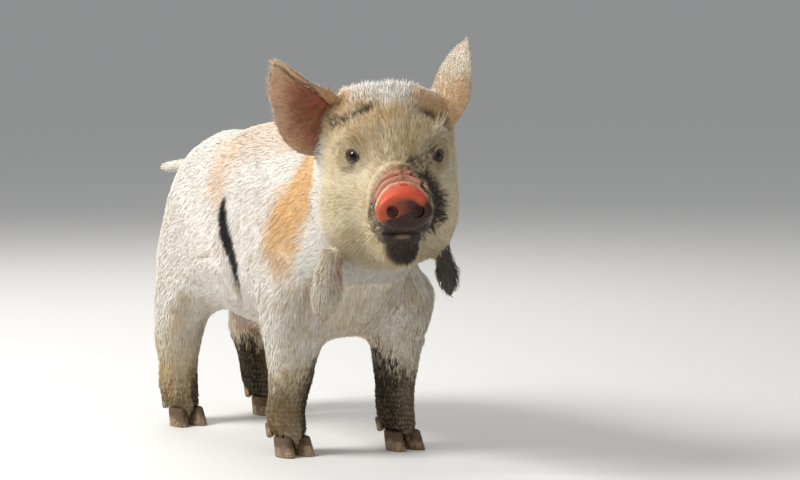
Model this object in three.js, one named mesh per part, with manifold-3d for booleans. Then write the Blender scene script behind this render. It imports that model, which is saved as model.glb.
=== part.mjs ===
// A kunekune piglet about six weeks old, life size, standing square and looking at the viewer.
// Millimetres, +Z up, head towards -Y, the animal's own left towards +X, hooves on the plane z = 0.
//
// The flesh is one smooth field: a blend of ellipsoids and tapered rods whose surface is where the
// field is zero. Each region of the body is meshed from that same field and parted from its
// neighbours by thin cuts, so the pieces follow one continuous outline. Ears, eyes, tail, tassels
// and hooves are lofts and spheres that are set into the flesh with a hair's gap.
import * as THREE from 'three';
import Module from 'manifold-3d';
import { mergeVertices } from 'three/addons/utils/BufferGeometryUtils.js';

const wasm = await Module();
wasm.setup();

const V = (x, y, z) => new THREE.Vector3(x, y, z);
const DEG = Math.PI / 180;
const LEFT = 1;
const RIGHT = -1;

// ---- Driving dimensions ----------------------------------------------------------------------

const GAP = 0.3; // clearance between neighbouring pieces
const SIDES = [['right', RIGHT], ['left', LEFT]];

// The head turns to the animal's right on the neck, and is held level.
const HEAD = { centre: V(-9, -192, 236), yaw: 23.5 * DEG, pitch: 1 * DEG };

// Where each foot stands, how far behind it the knee or hock is, and how far out the elbow or
// the thigh stands from the middle of the body.
const STANCE = {
  foreleg_right: { foot: V(-46, -90, 0), joint: -9, upper: 41 },
  foreleg_left: { foot: V(48, -107, 0), joint: -2, upper: 50 },
  hindleg_right: { foot: V(-46, 101, 0), joint: 4, upper: 33 },
  hindleg_left: { foot: V(47, 123, 0), joint: 20, upper: 33 },
};

// A toe's horn: slope is how far the top of its wall leans back, apart and ahead are the way from
// the foot's middle to the toe's middle.
const HOOF = {
  length: 26, width: 15.5, height: 15, slope: 6, apart: 8.6, ahead: 15, splay: 4 * DEG, sides: 10,
};
// The two small toes behind the pastern, whose roots are set into the flesh.
const DEWCLAW = {
  length: 9, width: 8, height: 12, slope: 1, apart: 9.5, behind: 11.5, lift: 12,
  lean: 152 * DEG, splay: 20 * DEG, sides: 6,
};
const CLAW = { topScale: 0.86, pointed: 0.22 };

const EYE = { radius: 7.8, side: 33.5, up: 12, proud: 1.6, faces: [12, 9] };
const NOSTRIL = { radii: V(3.6, 6, 4.6), side: 10.2, up: 1.5, faces: [10, 8] };

// The tail is held straight out behind; the tassels hang from the corners of the jaw, and theirs
// are given in the head's frame. The radii are at the root and at the end.
const TAIL = {
  root: V(0, 128, 223), tip: V(-12, 206, 216), radii: [6.4, 4.8],
  bow: 3, full: 1, round: 0.88, steps: 8,
};
const TASSEL_FORM = { bow: 2, full: 0.62, round: 0.55, steps: 7 };
const TASSELS = {
  right: { root: V(-45, -4, -62), tip: V(-53, -12, -115), radii: [8, 12], ...TASSEL_FORM },
  left: { root: V(40, -8, -58), tip: V(47, -14, -96), radii: [6, 8.5], ...TASSEL_FORM },
};
const ROD_SIDES = 8;
const BLUNT = 0.07; // the share of a soft rod's section that is left at its end

// ---- Field primitives: negative inside, about a distance outside ----------------------------

function ellipsoid(p, centre, radii) {
  const x = p.x - centre.x;
  const y = p.y - centre.y;
  const z = p.z - centre.z;
  const near = Math.hypot(x / radii.x, y / radii.y, z / radii.z);
  const steep = Math.hypot(x / radii.x ** 2, y / radii.y ** 2, z / radii.z ** 2);
  return steep < 1e-9 ? -Math.min(radii.x, radii.y, radii.z) : (near * (near - 1)) / steep;
}

// A rod from a to b whose radius goes evenly from ra to rb.
function rod(p, a, b, ra, rb) {
  const along = b.clone().sub(a);
  const from = p.clone().sub(a);
  const t = THREE.MathUtils.clamp(from.dot(along) / along.lengthSq(), 0, 1);
  return from.addScaledVector(along, -t).length() - THREE.MathUtils.lerp(ra, rb, t);
}

// The union of two fields with a fillet of about the given size.
function blend(a, b, fillet) {
  const h = Math.max(fillet - Math.abs(a - b), 0) / fillet;
  return Math.min(a, b) - (h * h * fillet) / 4;
}

// ---- The head, in its own frame: x left, y back, z up, origin in the middle of the skull ------

const headTurn = new THREE.Quaternion().setFromEuler(
  new THREE.Euler(HEAD.pitch, 0, -HEAD.yaw, 'ZYX'),
);
const headUnturn = headTurn.clone().invert();
const intoHead = (p) => p.clone().sub(HEAD.centre).applyQuaternion(headUnturn);
const outOfHead = (p) => p.clone().applyQuaternion(headTurn).add(HEAD.centre);

// Ellipsoids are a centre, radii and the fillet with what comes before them. Those of a pair are
// given for the left side; the right one mirrors it.
const BRAINCASE = { centre: V(0, 8, 8), radii: V(52, 56, 56) };
const HEAD_PAIRS = {
  poll: { centre: V(21, 16, 34), radii: V(30, 30, 30), fillet: 10 },
  cheek: { centre: V(22, 4, -30), radii: V(33, 46, 41), fillet: 14 },
  brow: { centre: V(27, -30, 26), radii: V(14, 11, 8), fillet: 14 },
  upperLip: { centre: V(12, -62, -32), radii: V(13, 20, 12), fillet: 10 },
};
// Rods are two ends, the radius at each and the fillet.
const MUZZLE = { from: V(0, -24, -6), to: V(0, -82, -23), radii: [32, 17.5], fillet: 14 };
const JAW = { from: V(0, 0, -49), to: V(0, -64, -54), radii: [28, 15], fillet: 10 };
// The snout's disc is a rounded slab that looks a little up and widens from the lip to the top.
const DISC = {
  centre: V(0, -89, -26.4), radii: V(22.3, 7, 17.2), tilt: 7 * DEG, widening: 0.004, edge: 5, fillet: 5,
};

const mirrored = (v, side) => V(v.x * side, v.y, v.z);
const withEllipsoid = (d, p, { centre, radii, fillet }, side = LEFT) =>
  blend(d, ellipsoid(p, mirrored(centre, side), radii), fillet);
const withRod = (d, p, { from, to, radii, fillet }) => blend(d, rod(p, from, to, ...radii), fillet);

function discField(p) {
  const { centre, radii, tilt, widening, edge } = DISC;
  const q = p.clone().sub(centre).applyAxisAngle(V(1, 0, 0), tilt);
  const across = Math.hypot(q.x / (radii.x * (1 + widening * q.z)), q.z / radii.z);
  const rim = (across - 1) * radii.z;
  const face = Math.abs(q.y) - radii.y;
  const outside = Math.hypot(Math.max(rim + edge, 0), Math.max(face + edge, 0));
  return outside + Math.min(Math.max(rim, face) + edge, 0) - edge;
}

function headField(world) {
  const p = intoHead(world);
  let d = withRod(ellipsoid(p, BRAINCASE.centre, BRAINCASE.radii), p, MUZZLE);
  for (const [, side] of SIDES) {
    for (const form of Object.values(HEAD_PAIRS)) d = withEllipsoid(d, p, form, side);
  }
  return blend(withRod(d, p, JAW), discField(p), DISC.fillet);
}

// ---- Trunk and legs, in the model's frame ----------------------------------------------------

const RIBS = { centre: V(0, -10, 180), radii: V(68, 120, 89) };
const TRUNK = {
  belly: { centre: V(0, 36, 172), radii: V(67, 82, 70), fillet: 20 },
  rump: { centre: V(0, 84, 182), radii: V(52, 66, 76), fillet: 18 },
  chest: { centre: V(0, -100, 156), radii: V(50, 52, 60), fillet: 20 },
};
const NAPE = { from: V(0, -70, 190), to: outOfHead(V(0, 34, -4)), radii: [64, 50] };
const THROAT = {
  from: V(0, -88, 150), to: outOfHead(V(0, 14, -34)), radii: [50, 40], fillet: 20,
};
const FILLETS = { neck: 26, leg: 16, head: 18 };

function trunkField(p) {
  const ribs = ellipsoid(p, RIBS.centre, RIBS.radii);
  return Object.values(TRUNK).reduce((d, form) => withEllipsoid(d, p, form), ribs);
}

const neckField = (p) => withRod(rod(p, NAPE.from, NAPE.to, ...NAPE.radii), p, THROAT);

// Each limb is a chain of rods, from the shoulder or haunch down to the toes.
const SHOULDER = { centre: V(33, -74, 178), radii: V(34, 46, 60) };
const FORELEG = {
  elbowHeight: 122, kneeOut: 46, kneeHeight: 68, fetlock: V(0, 2, 32), toe: V(0, -9, 15),
  elbowShare: 0.6, // how far the elbow follows the knee back
  upperArm: { radii: [31, 18.5], fillet: 16 },
  cannon: { radii: [17.5, 15.5], fillet: 8 },
  pastern: { radii: [16, 13.5], fillet: 6 },
};
const HAUNCH = { centre: V(24, 84, 180), radii: V(31, 50, 58) };
const THIGH = { y: 96, height: 146, radii: V(29, 42, 46), fillet: 14 };
const HINDLEG = {
  shankOut: 43, shankHeight: 108, hockOut: 46, hockHeight: 80,
  fetlock: V(0, 5, 33), toe: V(0, -8, 15),
  shankBack: -3, shankShare: 0.3, // how far the shank follows the hock back
  thighBone: { radii: [30, 24.5], fillet: 14 },
  shank: { radii: [23, 21], fillet: 10 },
  cannon: { radii: [20, 17], fillet: 8 },
  pastern: { radii: [16.5, 13.5], fillet: 6 },
};

function forelegField(p, side, { foot, joint, upper }) {
  const elbow = V(side * upper, foot.y + FORELEG.elbowShare * joint, FORELEG.elbowHeight);
  const knee = V(side * FORELEG.kneeOut, foot.y + joint, FORELEG.kneeHeight);
  const fetlock = foot.clone().add(FORELEG.fetlock);
  const toe = foot.clone().add(FORELEG.toe);
  let d = ellipsoid(p, mirrored(SHOULDER.centre, side), SHOULDER.radii);
  d = withRod(d, p, { from: elbow, to: knee, ...FORELEG.upperArm });
  d = withRod(d, p, { from: knee, to: fetlock, ...FORELEG.cannon });
  return withRod(d, p, { from: fetlock, to: toe, ...FORELEG.pastern });
}

function hindlegField(p, side, { foot, joint, upper }) {
  const thigh = V(side * upper, THIGH.y, THIGH.height);
  const shank = V(
    side * HINDLEG.shankOut,
    foot.y + HINDLEG.shankBack + HINDLEG.shankShare * joint,
    HINDLEG.shankHeight,
  );
  const hock = V(side * HINDLEG.hockOut, foot.y + joint, HINDLEG.hockHeight);
  const fetlock = foot.clone().add(HINDLEG.fetlock);
  const toe = foot.clone().add(HINDLEG.toe);
  let d = ellipsoid(p, mirrored(HAUNCH.centre, side), HAUNCH.radii);
  d = withEllipsoid(d, p, { centre: thigh, ...THIGH });
  d = withRod(d, p, { from: thigh, to: shank, ...HINDLEG.thighBone });
  d = withRod(d, p, { from: shank, to: hock, ...HINDLEG.shank });
  d = withRod(d, p, { from: hock, to: fetlock, ...HINDLEG.cannon });
  return withRod(d, p, { from: fetlock, to: toe, ...HINDLEG.pastern });
}

const LEG_FIELDS = Object.entries(STANCE).map(([name, stance]) => {
  const side = Math.sign(stance.foot.x);
  const field = name.startsWith('fore') ? forelegField : hindlegField;
  return (p) => field(p, side, stance);
});

function fleshField(p) {
  let d = blend(trunkField(p), neckField(p), FILLETS.neck);
  for (const legField of LEG_FIELDS) d = blend(d, legField(p), FILLETS.leg);
  return blend(d, headField(p), FILLETS.head);
}

// ---- Meshing a field ---------------------------------------------------------------------------

const SLOPE_STEP = 0.25;
const LEAST_SLOPE = 0.05;

function slopeOf(field, p) {
  const at = (x, y, z) => field(V(p.x + x, p.y + y, p.z + z));
  return V(
    at(SLOPE_STEP, 0, 0) - at(-SLOPE_STEP, 0, 0),
    at(0, SLOPE_STEP, 0) - at(0, -SLOPE_STEP, 0),
    at(0, 0, SLOPE_STEP) - at(0, 0, -SLOPE_STEP),
  ).divideScalar(2 * SLOPE_STEP);
}

// Moves a point along the field's slope until it lies on the surface.
function settle(field, p, rounds = 3) {
  for (let i = 0; i < rounds; i++) {
    const slope = slopeOf(field, p);
    p.addScaledVector(slope, -field(p) / Math.max(slope.lengthSq(), LEAST_SLOPE));
  }
  return p;
}

// The surface where the field is zero, as one closed geometry: a vertex in each cell of a grid
// that the surface crosses, and a quad round each grid edge that it crosses. What runs out of the
// box from low to high is closed off flat a little inside it.
const AXES = ['x', 'y', 'z'];
const BOX_MARGIN = 1.3; // in cells

function surfaceOf(open, { min: low, max: high }, cell) {
  const middle = low.clone().add(high).multiplyScalar(0.5);
  const reach = high.clone().sub(low).multiplyScalar(0.5).addScaledVector(cell, -BOX_MARGIN);
  const beyondBox = (p) => Math.max(...AXES.map((k) => Math.abs(p[k] - middle[k]) - reach[k]));
  const field = (p) => Math.max(open(p), beyondBox(p));
  const count = AXES.map((k) => Math.ceil((high[k] - low[k]) / cell[k]) + 1);
  const index = (i, j, k) => (k * count[1] + j) * count[0] + i;
  const corner = (i, j, k) => V(i, j, k).multiply(cell).add(low);
  const values = new Float64Array(count[0] * count[1] * count[2]);
  for (let k = 0; k < count[2]; k++)
    for (let j = 0; j < count[1]; j++)
      for (let i = 0; i < count[0]; i++) values[index(i, j, k)] = field(corner(i, j, k));

  const inside = (i, j, k) => values[index(i, j, k)] < 0;
  const positions = [];
  const made = new Map();
  function vertexOf(i, j, k) {
    const key = index(i, j, k);
    if (made.has(key)) return made.get(key);
    const sum = V(0, 0, 0);
    let crossings = 0;
    const look = (a, b) => {
      const va = values[index(...a)];
      const vb = values[index(...b)];
      if (va < 0 === vb < 0) return;
      sum.add(corner(...a).lerp(corner(...b), va / (va - vb)));
      crossings++;
    };
    for (let u = 0; u < 2; u++)
      for (let v = 0; v < 2; v++) {
        look([i, j + u, k + v], [i + 1, j + u, k + v]);
        look([i + u, j, k + v], [i + u, j + 1, k + v]);
        look([i + u, j + v, k], [i + u, j + v, k + 1]);
      }
    const p = sum.divideScalar(crossings);
    const start = p.clone();
    settle(field, p);
    if (p.distanceTo(start) > cell.length() / 2) p.copy(start);
    positions.push(p.x, p.y, p.z);
    made.set(key, positions.length / 3 - 1);
    return positions.length / 3 - 1;
  }

  const triangles = [];
  const point = (n) => V(positions[3 * n], positions[3 * n + 1], positions[3 * n + 2]);
  function quad(a, b, c, d, flip) {
    const short = point(a).distanceTo(point(c)) <= point(b).distanceTo(point(d));
    const pair = short ? [[a, b, c], [a, c, d]] : [[a, b, d], [b, c, d]];
    for (const [x, y, z] of pair) triangles.push(...(flip ? [x, z, y] : [x, y, z]));
  }
  for (let k = 1; k < count[2] - 1; k++)
    for (let j = 1; j < count[1] - 1; j++)
      for (let i = 1; i < count[0] - 1; i++) {
        const here = inside(i, j, k);
        if (here !== inside(i + 1, j, k))
          quad(vertexOf(i, j - 1, k - 1), vertexOf(i, j, k - 1), vertexOf(i, j, k),
            vertexOf(i, j - 1, k), !here);
        if (here !== inside(i, j + 1, k))
          quad(vertexOf(i - 1, j, k - 1), vertexOf(i - 1, j, k), vertexOf(i, j, k),
            vertexOf(i, j, k - 1), !here);
        if (here !== inside(i, j, k + 1))
          quad(vertexOf(i - 1, j - 1, k), vertexOf(i, j - 1, k), vertexOf(i, j, k),
            vertexOf(i - 1, j, k), !here);
      }
  const geometry = new THREE.BufferGeometry();
  geometry.setAttribute('position', new THREE.Float32BufferAttribute(positions, 3));
  geometry.setIndex(triangles);
  return geometry;
}

// A closed skin over rings of points, each ring the same length, with a fan at either end.
function loft(rings) {
  const size = rings[0].length;
  const positions = rings.flat().flatMap((p) => [p.x, p.y, p.z]);
  const middle = (ring) => ring.reduce((s, p) => s.add(p), V(0, 0, 0)).divideScalar(size);
  const ends = [middle(rings[0]), middle(rings[rings.length - 1])];
  positions.push(...ends.flatMap((p) => [p.x, p.y, p.z]));
  const first = rings.length * size;
  const triangles = [];
  for (let i = 0; i < size; i++) {
    const next = (i + 1) % size;
    for (let r = 0; r + 1 < rings.length; r++) {
      const a = r * size;
      const b = a + size;
      triangles.push(a + i, a + next, b + next, a + i, b + next, b + i);
    }
    const last = (rings.length - 1) * size;
    triangles.push(first, next, i, first + 1, last + i, last + next);
  }
  const geometry = new THREE.BufferGeometry();
  geometry.setAttribute('position', new THREE.Float32BufferAttribute(positions, 3));
  geometry.setIndex(triangles);
  return geometry;
}

// A round tube along a curve, its radius given by a function of the share of the length.
function taperedTube(curve, radiusAt, steps, sides) {
  const { normals, binormals } = curve.computeFrenetFrames(steps, false);
  const rings = [];
  for (let s = 0; s <= steps; s++) {
    const centre = curve.getPointAt(s / steps);
    const radius = radiusAt(s / steps);
    rings.push(Array.from({ length: sides }, (_, i) => {
      const turn = (2 * Math.PI * i) / sides;
      return centre.clone()
        .addScaledVector(normals[s], radius * Math.cos(turn))
        .addScaledVector(binormals[s], radius * Math.sin(turn));
    }));
  }
  return loft(rings);
}

// ---- Solids ------------------------------------------------------------------------------------

function toSolid(geometry) {
  const bare = geometry.clone();
  bare.deleteAttribute('normal');
  bare.deleteAttribute('uv');
  const merged = mergeVertices(bare, 1e-3);
  const solid = new wasm.Manifold(new wasm.Mesh({
    numProp: 3,
    vertProperties: merged.attributes.position.array,
    triVerts: new Uint32Array(merged.index.array),
  }));
  if (solid.volume() > 0) return solid;
  const turned = merged.index.array.slice();
  for (let i = 0; i < turned.length; i += 3) [turned[i], turned[i + 1]] = [turned[i + 1], turned[i]];
  merged.setIndex(Array.from(turned));
  return toSolid(merged);
}

const biggest = (solid) => solid.decompose().sort((a, b) => b.volume() - a.volume())[0];
const subtractAll = (solid, others) => others.reduce((s, other) => s.subtract(other), solid);

// A box from lo to hi in a frame at `origin` that is turned by `euler`.
function slab(origin, euler, lo, hi, grow = 0) {
  const size = hi.clone().sub(lo).addScalar(2 * grow);
  const geometry = new THREE.BoxGeometry(size.x, size.y, size.z);
  const middle = lo.clone().add(hi).multiplyScalar(0.5);
  geometry.translate(middle.x, middle.y, middle.z);
  geometry.applyMatrix4(new THREE.Matrix4().makeRotationFromEuler(euler).setPosition(origin));
  return toSolid(geometry);
}

const FAR = 400;

// Each cut has a point on it and how far it leans from upright, or from level for the mouth.
const CUTS = {
  head: { at: outOfHead(V(0, 36, 0)), lean: 13 * DEG, below: 86 }, // behind the ears and jowls
  neck: { at: V(0, -112, 190), lean: 14 * DEG, turn: -6 * DEG }, // from the withers to the breast
  snout: { at: outOfHead(V(0, -62, 0)) }, // across the muzzle
  mouth: { at: outOfHead(V(0, -50, -46)), lean: 4 * DEG, back: 34 }, // over the lower jaw
};
const headSlab = ({ at, lean = 0 }, lo, hi, grow) => slab(
  at, new THREE.Euler(HEAD.pitch + lean, 0, -HEAD.yaw, 'ZYX'), lo, hi, grow,
);
const headRegion = (grow) => headSlab(
  CUTS.head, V(-FAR, -FAR, -CUTS.head.below), V(FAR, 0, FAR), grow,
);
const snoutRegion = (grow) => headSlab(CUTS.snout, V(-FAR, -FAR, -FAR), V(FAR, 0, FAR), grow);
const jawRegion = (grow) => headSlab(
  CUTS.mouth, V(-FAR, -FAR, -FAR), V(FAR, CUTS.mouth.back, 0), grow,
);
const neckRegion = (grow) => slab(
  CUTS.neck.at, new THREE.Euler(CUTS.neck.lean, 0, CUTS.neck.turn, 'ZYX'),
  V(-FAR, -FAR, -FAR), V(FAR, 0, FAR), grow,
);

// A leg with its share of the body: a rounded patch over the shoulder or haunch, and a sleeve
// round the limb below it.
const LEG_REGIONS = {
  fore: {
    patch: { centre: V(68, -94, 122), radii: V(44, 42, 50) },
    sleeve: { out: 50, ahead: 3, wide: 31, deep: 40 },
  },
  hind: {
    patch: { centre: V(68, 96, 146), radii: V(47, 58, 64) },
    sleeve: { out: 50, ahead: -8, wide: 32, deep: 52 },
  },
};
const PATCH_FACES = [16, 10];
const SLEEVE_SIDES = 14;

function legRegion(name, grow) {
  const { foot } = STANCE[name];
  const side = Math.sign(foot.x);
  const { patch, sleeve } = LEG_REGIONS[name.slice(0, 4)];
  const over = new THREE.SphereGeometry(1, ...PATCH_FACES)
    .scale(patch.radii.x + grow, patch.radii.y + grow, patch.radii.z + grow)
    .translate(side * patch.centre.x, patch.centre.y, patch.centre.z);
  const top = patch.centre.z;
  const round = new THREE.CylinderGeometry(1, 1, 2 * top, SLEEVE_SIDES)
    .rotateX(Math.PI / 2)
    .scale(sleeve.wide + grow, sleeve.deep + grow, 1)
    .translate(side * sleeve.out, foot.y - sleeve.ahead, 0);
  return toSolid(over).add(toSolid(round));
}

// ---- Hooves ------------------------------------------------------------------------------------

// One toe's horn: a flat sole with a rounded point in front, its wall leaning back to the coronet.
function claw({ length, width, height, slope, sides }, grow = 0) {
  const rings = [[0, 1], [1, CLAW.topScale]].map(
    ([share, scale]) => Array.from({ length: sides }, (_, i) => {
      const turn = (2 * Math.PI * i) / sides;
      const front = Math.max(0, -Math.cos(turn)); // 1 at the toe's point
      const x = Math.sin(turn) * (width / 2) * scale * (1 - CLAW.pointed * front);
      const y = Math.cos(turn) * (length / 2) * scale + slope * share;
      return V(x, y, share * height);
    }),
  );
  const geometry = loft(rings);
  if (grow) {
    geometry.translate(0, -slope / 2, -height / 2);
    geometry.scale(1 + (2 * grow) / width, 1 + (2 * grow) / length, 1 + (2 * grow) / height);
    geometry.translate(0, slope / 2, height / 2);
  }
  return geometry;
}

function toesOf({ foot }, grow = 0) {
  return SIDES.map(([name, side]) => [name, claw(HOOF, grow)
    .rotateZ(side * HOOF.splay)
    .translate(foot.x + side * HOOF.apart, foot.y - HOOF.ahead, 0)]);
}

function dewclawsOf({ foot }, grow = 0) {
  return SIDES.map(([name, side]) => [name, claw(DEWCLAW, grow)
    .rotateX(DEWCLAW.lean)
    .rotateZ(side * DEWCLAW.splay)
    .translate(
      foot.x + side * DEWCLAW.apart, foot.y + DEWCLAW.behind, DEWCLAW.lift + DEWCLAW.height,
    )]);
}

// ---- Ears ----------------------------------------------------------------------------------------

// An ear is a cupped leaf, in the head's frame. Its spine runs from the root towards `bend` and on
// to the tip, and its hollow side faces `facing`; `cup` is how far round each side curls, `widest`
// where along it the leaf is widest, and `taper` how late it draws in to the tip. `upper` is how
// far its upper side reaches as a share of its half width, evenly from the root to the tip.
const EARS = {
  right: {
    spine: [V(-38, 12, 32), V(-80, 2, 39), V(-90, -4, 86)],
    facing: V(-0.12, -0.98, -0.1),
    width: 61,
    cup: 30 * DEG,
    widest: 0.31,
    taper: 2.4,
    upper: [0.9, 0.9, 1.02, 1.3, 1.36, 1.3],
  },
  left: {
    spine: [V(34, 14, 34), V(42, 14, 70), V(64, 12, 101)],
    facing: V(0.88, 0.45, -0.15),
    width: 58,
    cup: 68 * DEG,
    widest: 0.45,
    taper: 3.4,
    upper: [1, 1],
  },
};
const EAR = {
  thickness: 4.2, // in the middle of the root
  thinning: 0.35, // the share of it lost at the tip
  rim: 0.32, // the share of it left at the rims
  rootSpread: 0.7, // the root's width as a share of the widest
  tipHalfWidth: 1.2,
  flattening: 0.6, // how much less the sides curl at the tip
  along: 8,
  across: 6,
};

// The value of an evenly spaced table at a share of its length.
function along(table, share) {
  const place = Math.min(share, 1) * (table.length - 1);
  const before = Math.min(Math.floor(place), table.length - 2);
  return THREE.MathUtils.lerp(table[before], table[before + 1], place - before);
}

function earGeometry({ spine: knots, facing, width, cup, widest, taper, upper }) {
  const spine = new THREE.QuadraticBezierCurve3(...knots);
  const rings = [];
  for (let s = 0; s <= EAR.along; s++) {
    const share = s / EAR.along;
    const centre = spine.getPoint(share);
    const ahead = spine.getTangent(share);
    const out = facing.clone().addScaledVector(ahead, -facing.dot(ahead)).normalize();
    const sideways = new THREE.Vector3().crossVectors(ahead, out).normalize();
    const swell = Math.sin(Math.PI * Math.min(share / (2 * widest), 1));
    const spread = EAR.rootSpread + (1 - EAR.rootSpread) * swell;
    const half = (width / 2) * spread * (1 - share ** taper) ** 0.7 + EAR.tipHalfWidth;
    const curl = cup * (1 - EAR.flattening * share);
    const radius = half / curl;
    const thick = (EAR.thickness * (1 - EAR.thinning * share)) / 2;
    const row = Array.from({ length: EAR.across + 1 }, (_, i) => -1 + (2 * i) / EAR.across);
    const further = along(upper, share);
    const at = (t, face) => {
      const edge = Math.max(Math.sqrt(1 - t ** 4), EAR.rim);
      const turn = curl * (t > 0 ? t * further : t);
      const rise = radius * (1 - Math.cos(turn)) + face * thick * edge;
      return centre.clone()
        .addScaledVector(sideways, radius * Math.sin(turn))
        .addScaledVector(out, rise);
    };
    rings.push([...row.map((t) => at(t, 1)), ...row.reverse().map((t) => at(t, -1))]);
  }
  return loft(rings);
}

// ---- Assembly ------------------------------------------------------------------------------------

// Sizes of the mesh's cells: shorter where the form turns quickly.
const CELLS = {
  trunk: V(22, 27, 21),
  neck: V(20, 20, 20),
  head: V(12, 12, 12),
  jaw: V(9, 9, 9),
  snout: V(7, 7, 7),
  leg: V(11.5, 11.5, 19),
};

const meshed = (low, high, cell, field = fleshField) =>
  toSolid(surfaceOf(field, new THREE.Box3(low, high), cell));

// Boxes that hold each part of the body, for its mesh.
const BODY_BOX = [V(-110, -340, -20), V(110, 210, 340)];
const NECK_BOX = [V(-110, -330, 30), V(110, -40, 330)];
const HEAD_BOX = [V(-95, -130, -110), V(95, 95, 95)].map((v) => v.add(HEAD.centre));
const SNOUT_BOX = [V(-60, -60, -60), V(60, 60, 60)].map((v) => v.add(outOfHead(V(0, -76, -36))));
const legBox = ({ foot }) => {
  const box = new THREE.Box3().setFromPoints([
    V(0, foot.y - 110, -30), V(Math.sign(foot.x) * 130, foot.y + 110, 250),
  ]);
  return [box.min, box.max];
};

function flesh() {
  const whole = meshed(...BODY_BOX, CELLS.trunk);
  const fineNeck = meshed(...NECK_BOX, CELLS.neck);
  const fineHead = meshed(...HEAD_BOX, CELLS.head);
  const fineJaw = meshed(...HEAD_BOX, CELLS.jaw);
  const fineSnout = meshed(...SNOUT_BOX, CELLS.snout);
  const legCuts = Object.keys(STANCE).map((name) => legRegion(name, GAP));
  const pieces = {
    trunk: subtractAll(whole, [neckRegion(GAP), ...legCuts]),
    neck: subtractAll(fineNeck.intersect(neckRegion(0)), [headRegion(GAP), ...legCuts]),
    head: subtractAll(
      fineHead.intersect(headRegion(0)), [snoutRegion(GAP), jawRegion(GAP), ...legCuts],
    ),
    snout: fineSnout.intersect(snoutRegion(0)).subtract(jawRegion(GAP)),
    jaw: fineJaw.intersect(headRegion(0)).intersect(jawRegion(0)),
  };
  for (const [name, stance] of Object.entries(STANCE)) {
    pieces[name] = meshed(...legBox(stance), CELLS.leg).intersect(legRegion(name, 0));
  }
  for (const name of Object.keys(pieces)) pieces[name] = biggest(pieces[name]);
  return pieces;
}

const MATERIALS = {
  coat: new THREE.MeshStandardMaterial({ color: 0xe6dcc6, roughness: 0.85, metalness: 0 }),
  snout: new THREE.MeshStandardMaterial({ color: 0xd9705c, roughness: 0.5, metalness: 0 }),
  eye: new THREE.MeshStandardMaterial({ color: 0x1d120c, roughness: 0.08, metalness: 0 }),
  horn: new THREE.MeshStandardMaterial({ color: 0x8a7458, roughness: 0.55, metalness: 0 }),
};

const model = new THREE.Group();

function addPiece(name, solid, material) {
  const mesh = solid.getMesh();
  const size = mesh.numProp;
  const positions = new Float32Array(mesh.numVert * 3);
  for (let i = 0; i < mesh.numVert; i++)
    positions.set(mesh.vertProperties.subarray(i * size, i * size + 3), i * 3);
  const geometry = new THREE.BufferGeometry();
  geometry.setAttribute('position', new THREE.BufferAttribute(positions, 3));
  geometry.setIndex(new THREE.BufferAttribute(mesh.triVerts, 1));
  geometry.computeVertexNormals();
  const piece = new THREE.Mesh(geometry, material);
  piece.name = name;
  model.add(piece);
}

// The place on the head's surface that a level line from the front meets, and the way out there.
const CLOSE = 0.05;

function faceAt(x, z) {
  const p = V(x, -FAR, z);
  for (let d = FAR; d > CLOSE; d = headField(outOfHead(p))) p.y += Math.max(d * 0.5, CLOSE);
  const world = outOfHead(p);
  return { point: world, out: slopeOf(headField, world).normalize() };
}

// A soft hanging or held-out rod: it bows up by `bow`, its radius changes over the first share
// `full` of its length, and its end rounds off from the share `round` on.
function softRod({ root, tip, radii, bow, full, round, steps }) {
  const curve = new THREE.QuadraticBezierCurve3(
    root, root.clone().lerp(tip, 0.5).add(V(0, 0, bow)), tip,
  );
  const radiusAt = (t) => {
    const past = Math.max(0, (t - round) / (1 - round));
    const plain = THREE.MathUtils.lerp(...radii, Math.min(t / full, 1));
    return plain * Math.sqrt(Math.max(1 - past ** 2, BLUNT));
  };
  return taperedTube(curve, radiusAt, steps, ROD_SIDES);
}

const pieces = flesh();
const grownField = (p) => fleshField(p) - GAP;
const grownHead = [
  meshed(...HEAD_BOX, CELLS.head, grownField), meshed(...NECK_BOX, CELLS.neck, grownField),
];
const grownBody = [meshed(...BODY_BOX, CELLS.trunk, grownField)];
const placeOnHead = new THREE.Matrix4().compose(HEAD.centre, headTurn, V(1, 1, 1));

for (const [name, side] of SIDES) {
  const { point, out } = faceAt(side * EYE.side, EYE.up);
  const centre = point.addScaledVector(out, EYE.proud - EYE.radius);
  const ball = (radius) => toSolid(new THREE.SphereGeometry(radius, ...EYE.faces)
    .translate(centre.x, centre.y, centre.z));
  pieces.head = biggest(pieces.head.subtract(ball(EYE.radius + GAP)));
  addPiece(`eye_${name}`, ball(EYE.radius), MATERIALS.eye);

  const leaf = toSolid(earGeometry(EARS[name]).applyMatrix4(placeOnHead));
  addPiece(`ear_${name}`, biggest(subtractAll(leaf, grownHead)), MATERIALS.coat);

  const hanging = toSolid(softRod(TASSELS[name]).applyMatrix4(placeOnHead));
  addPiece(`tassel_${name}`, biggest(subtractAll(hanging, grownHead)), MATERIALS.coat);

  const nostril = new THREE.SphereGeometry(1, ...NOSTRIL.faces)
    .scale(NOSTRIL.radii.x, NOSTRIL.radii.y, NOSTRIL.radii.z)
    .translate(side * NOSTRIL.side, DISC.centre.y - DISC.radii.y, DISC.centre.z + NOSTRIL.up)
    .applyMatrix4(placeOnHead);
  pieces.snout = biggest(pieces.snout.subtract(toSolid(nostril)));
}

addPiece('tail', biggest(subtractAll(toSolid(softRod(TAIL)), grownBody)), MATERIALS.coat);

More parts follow.
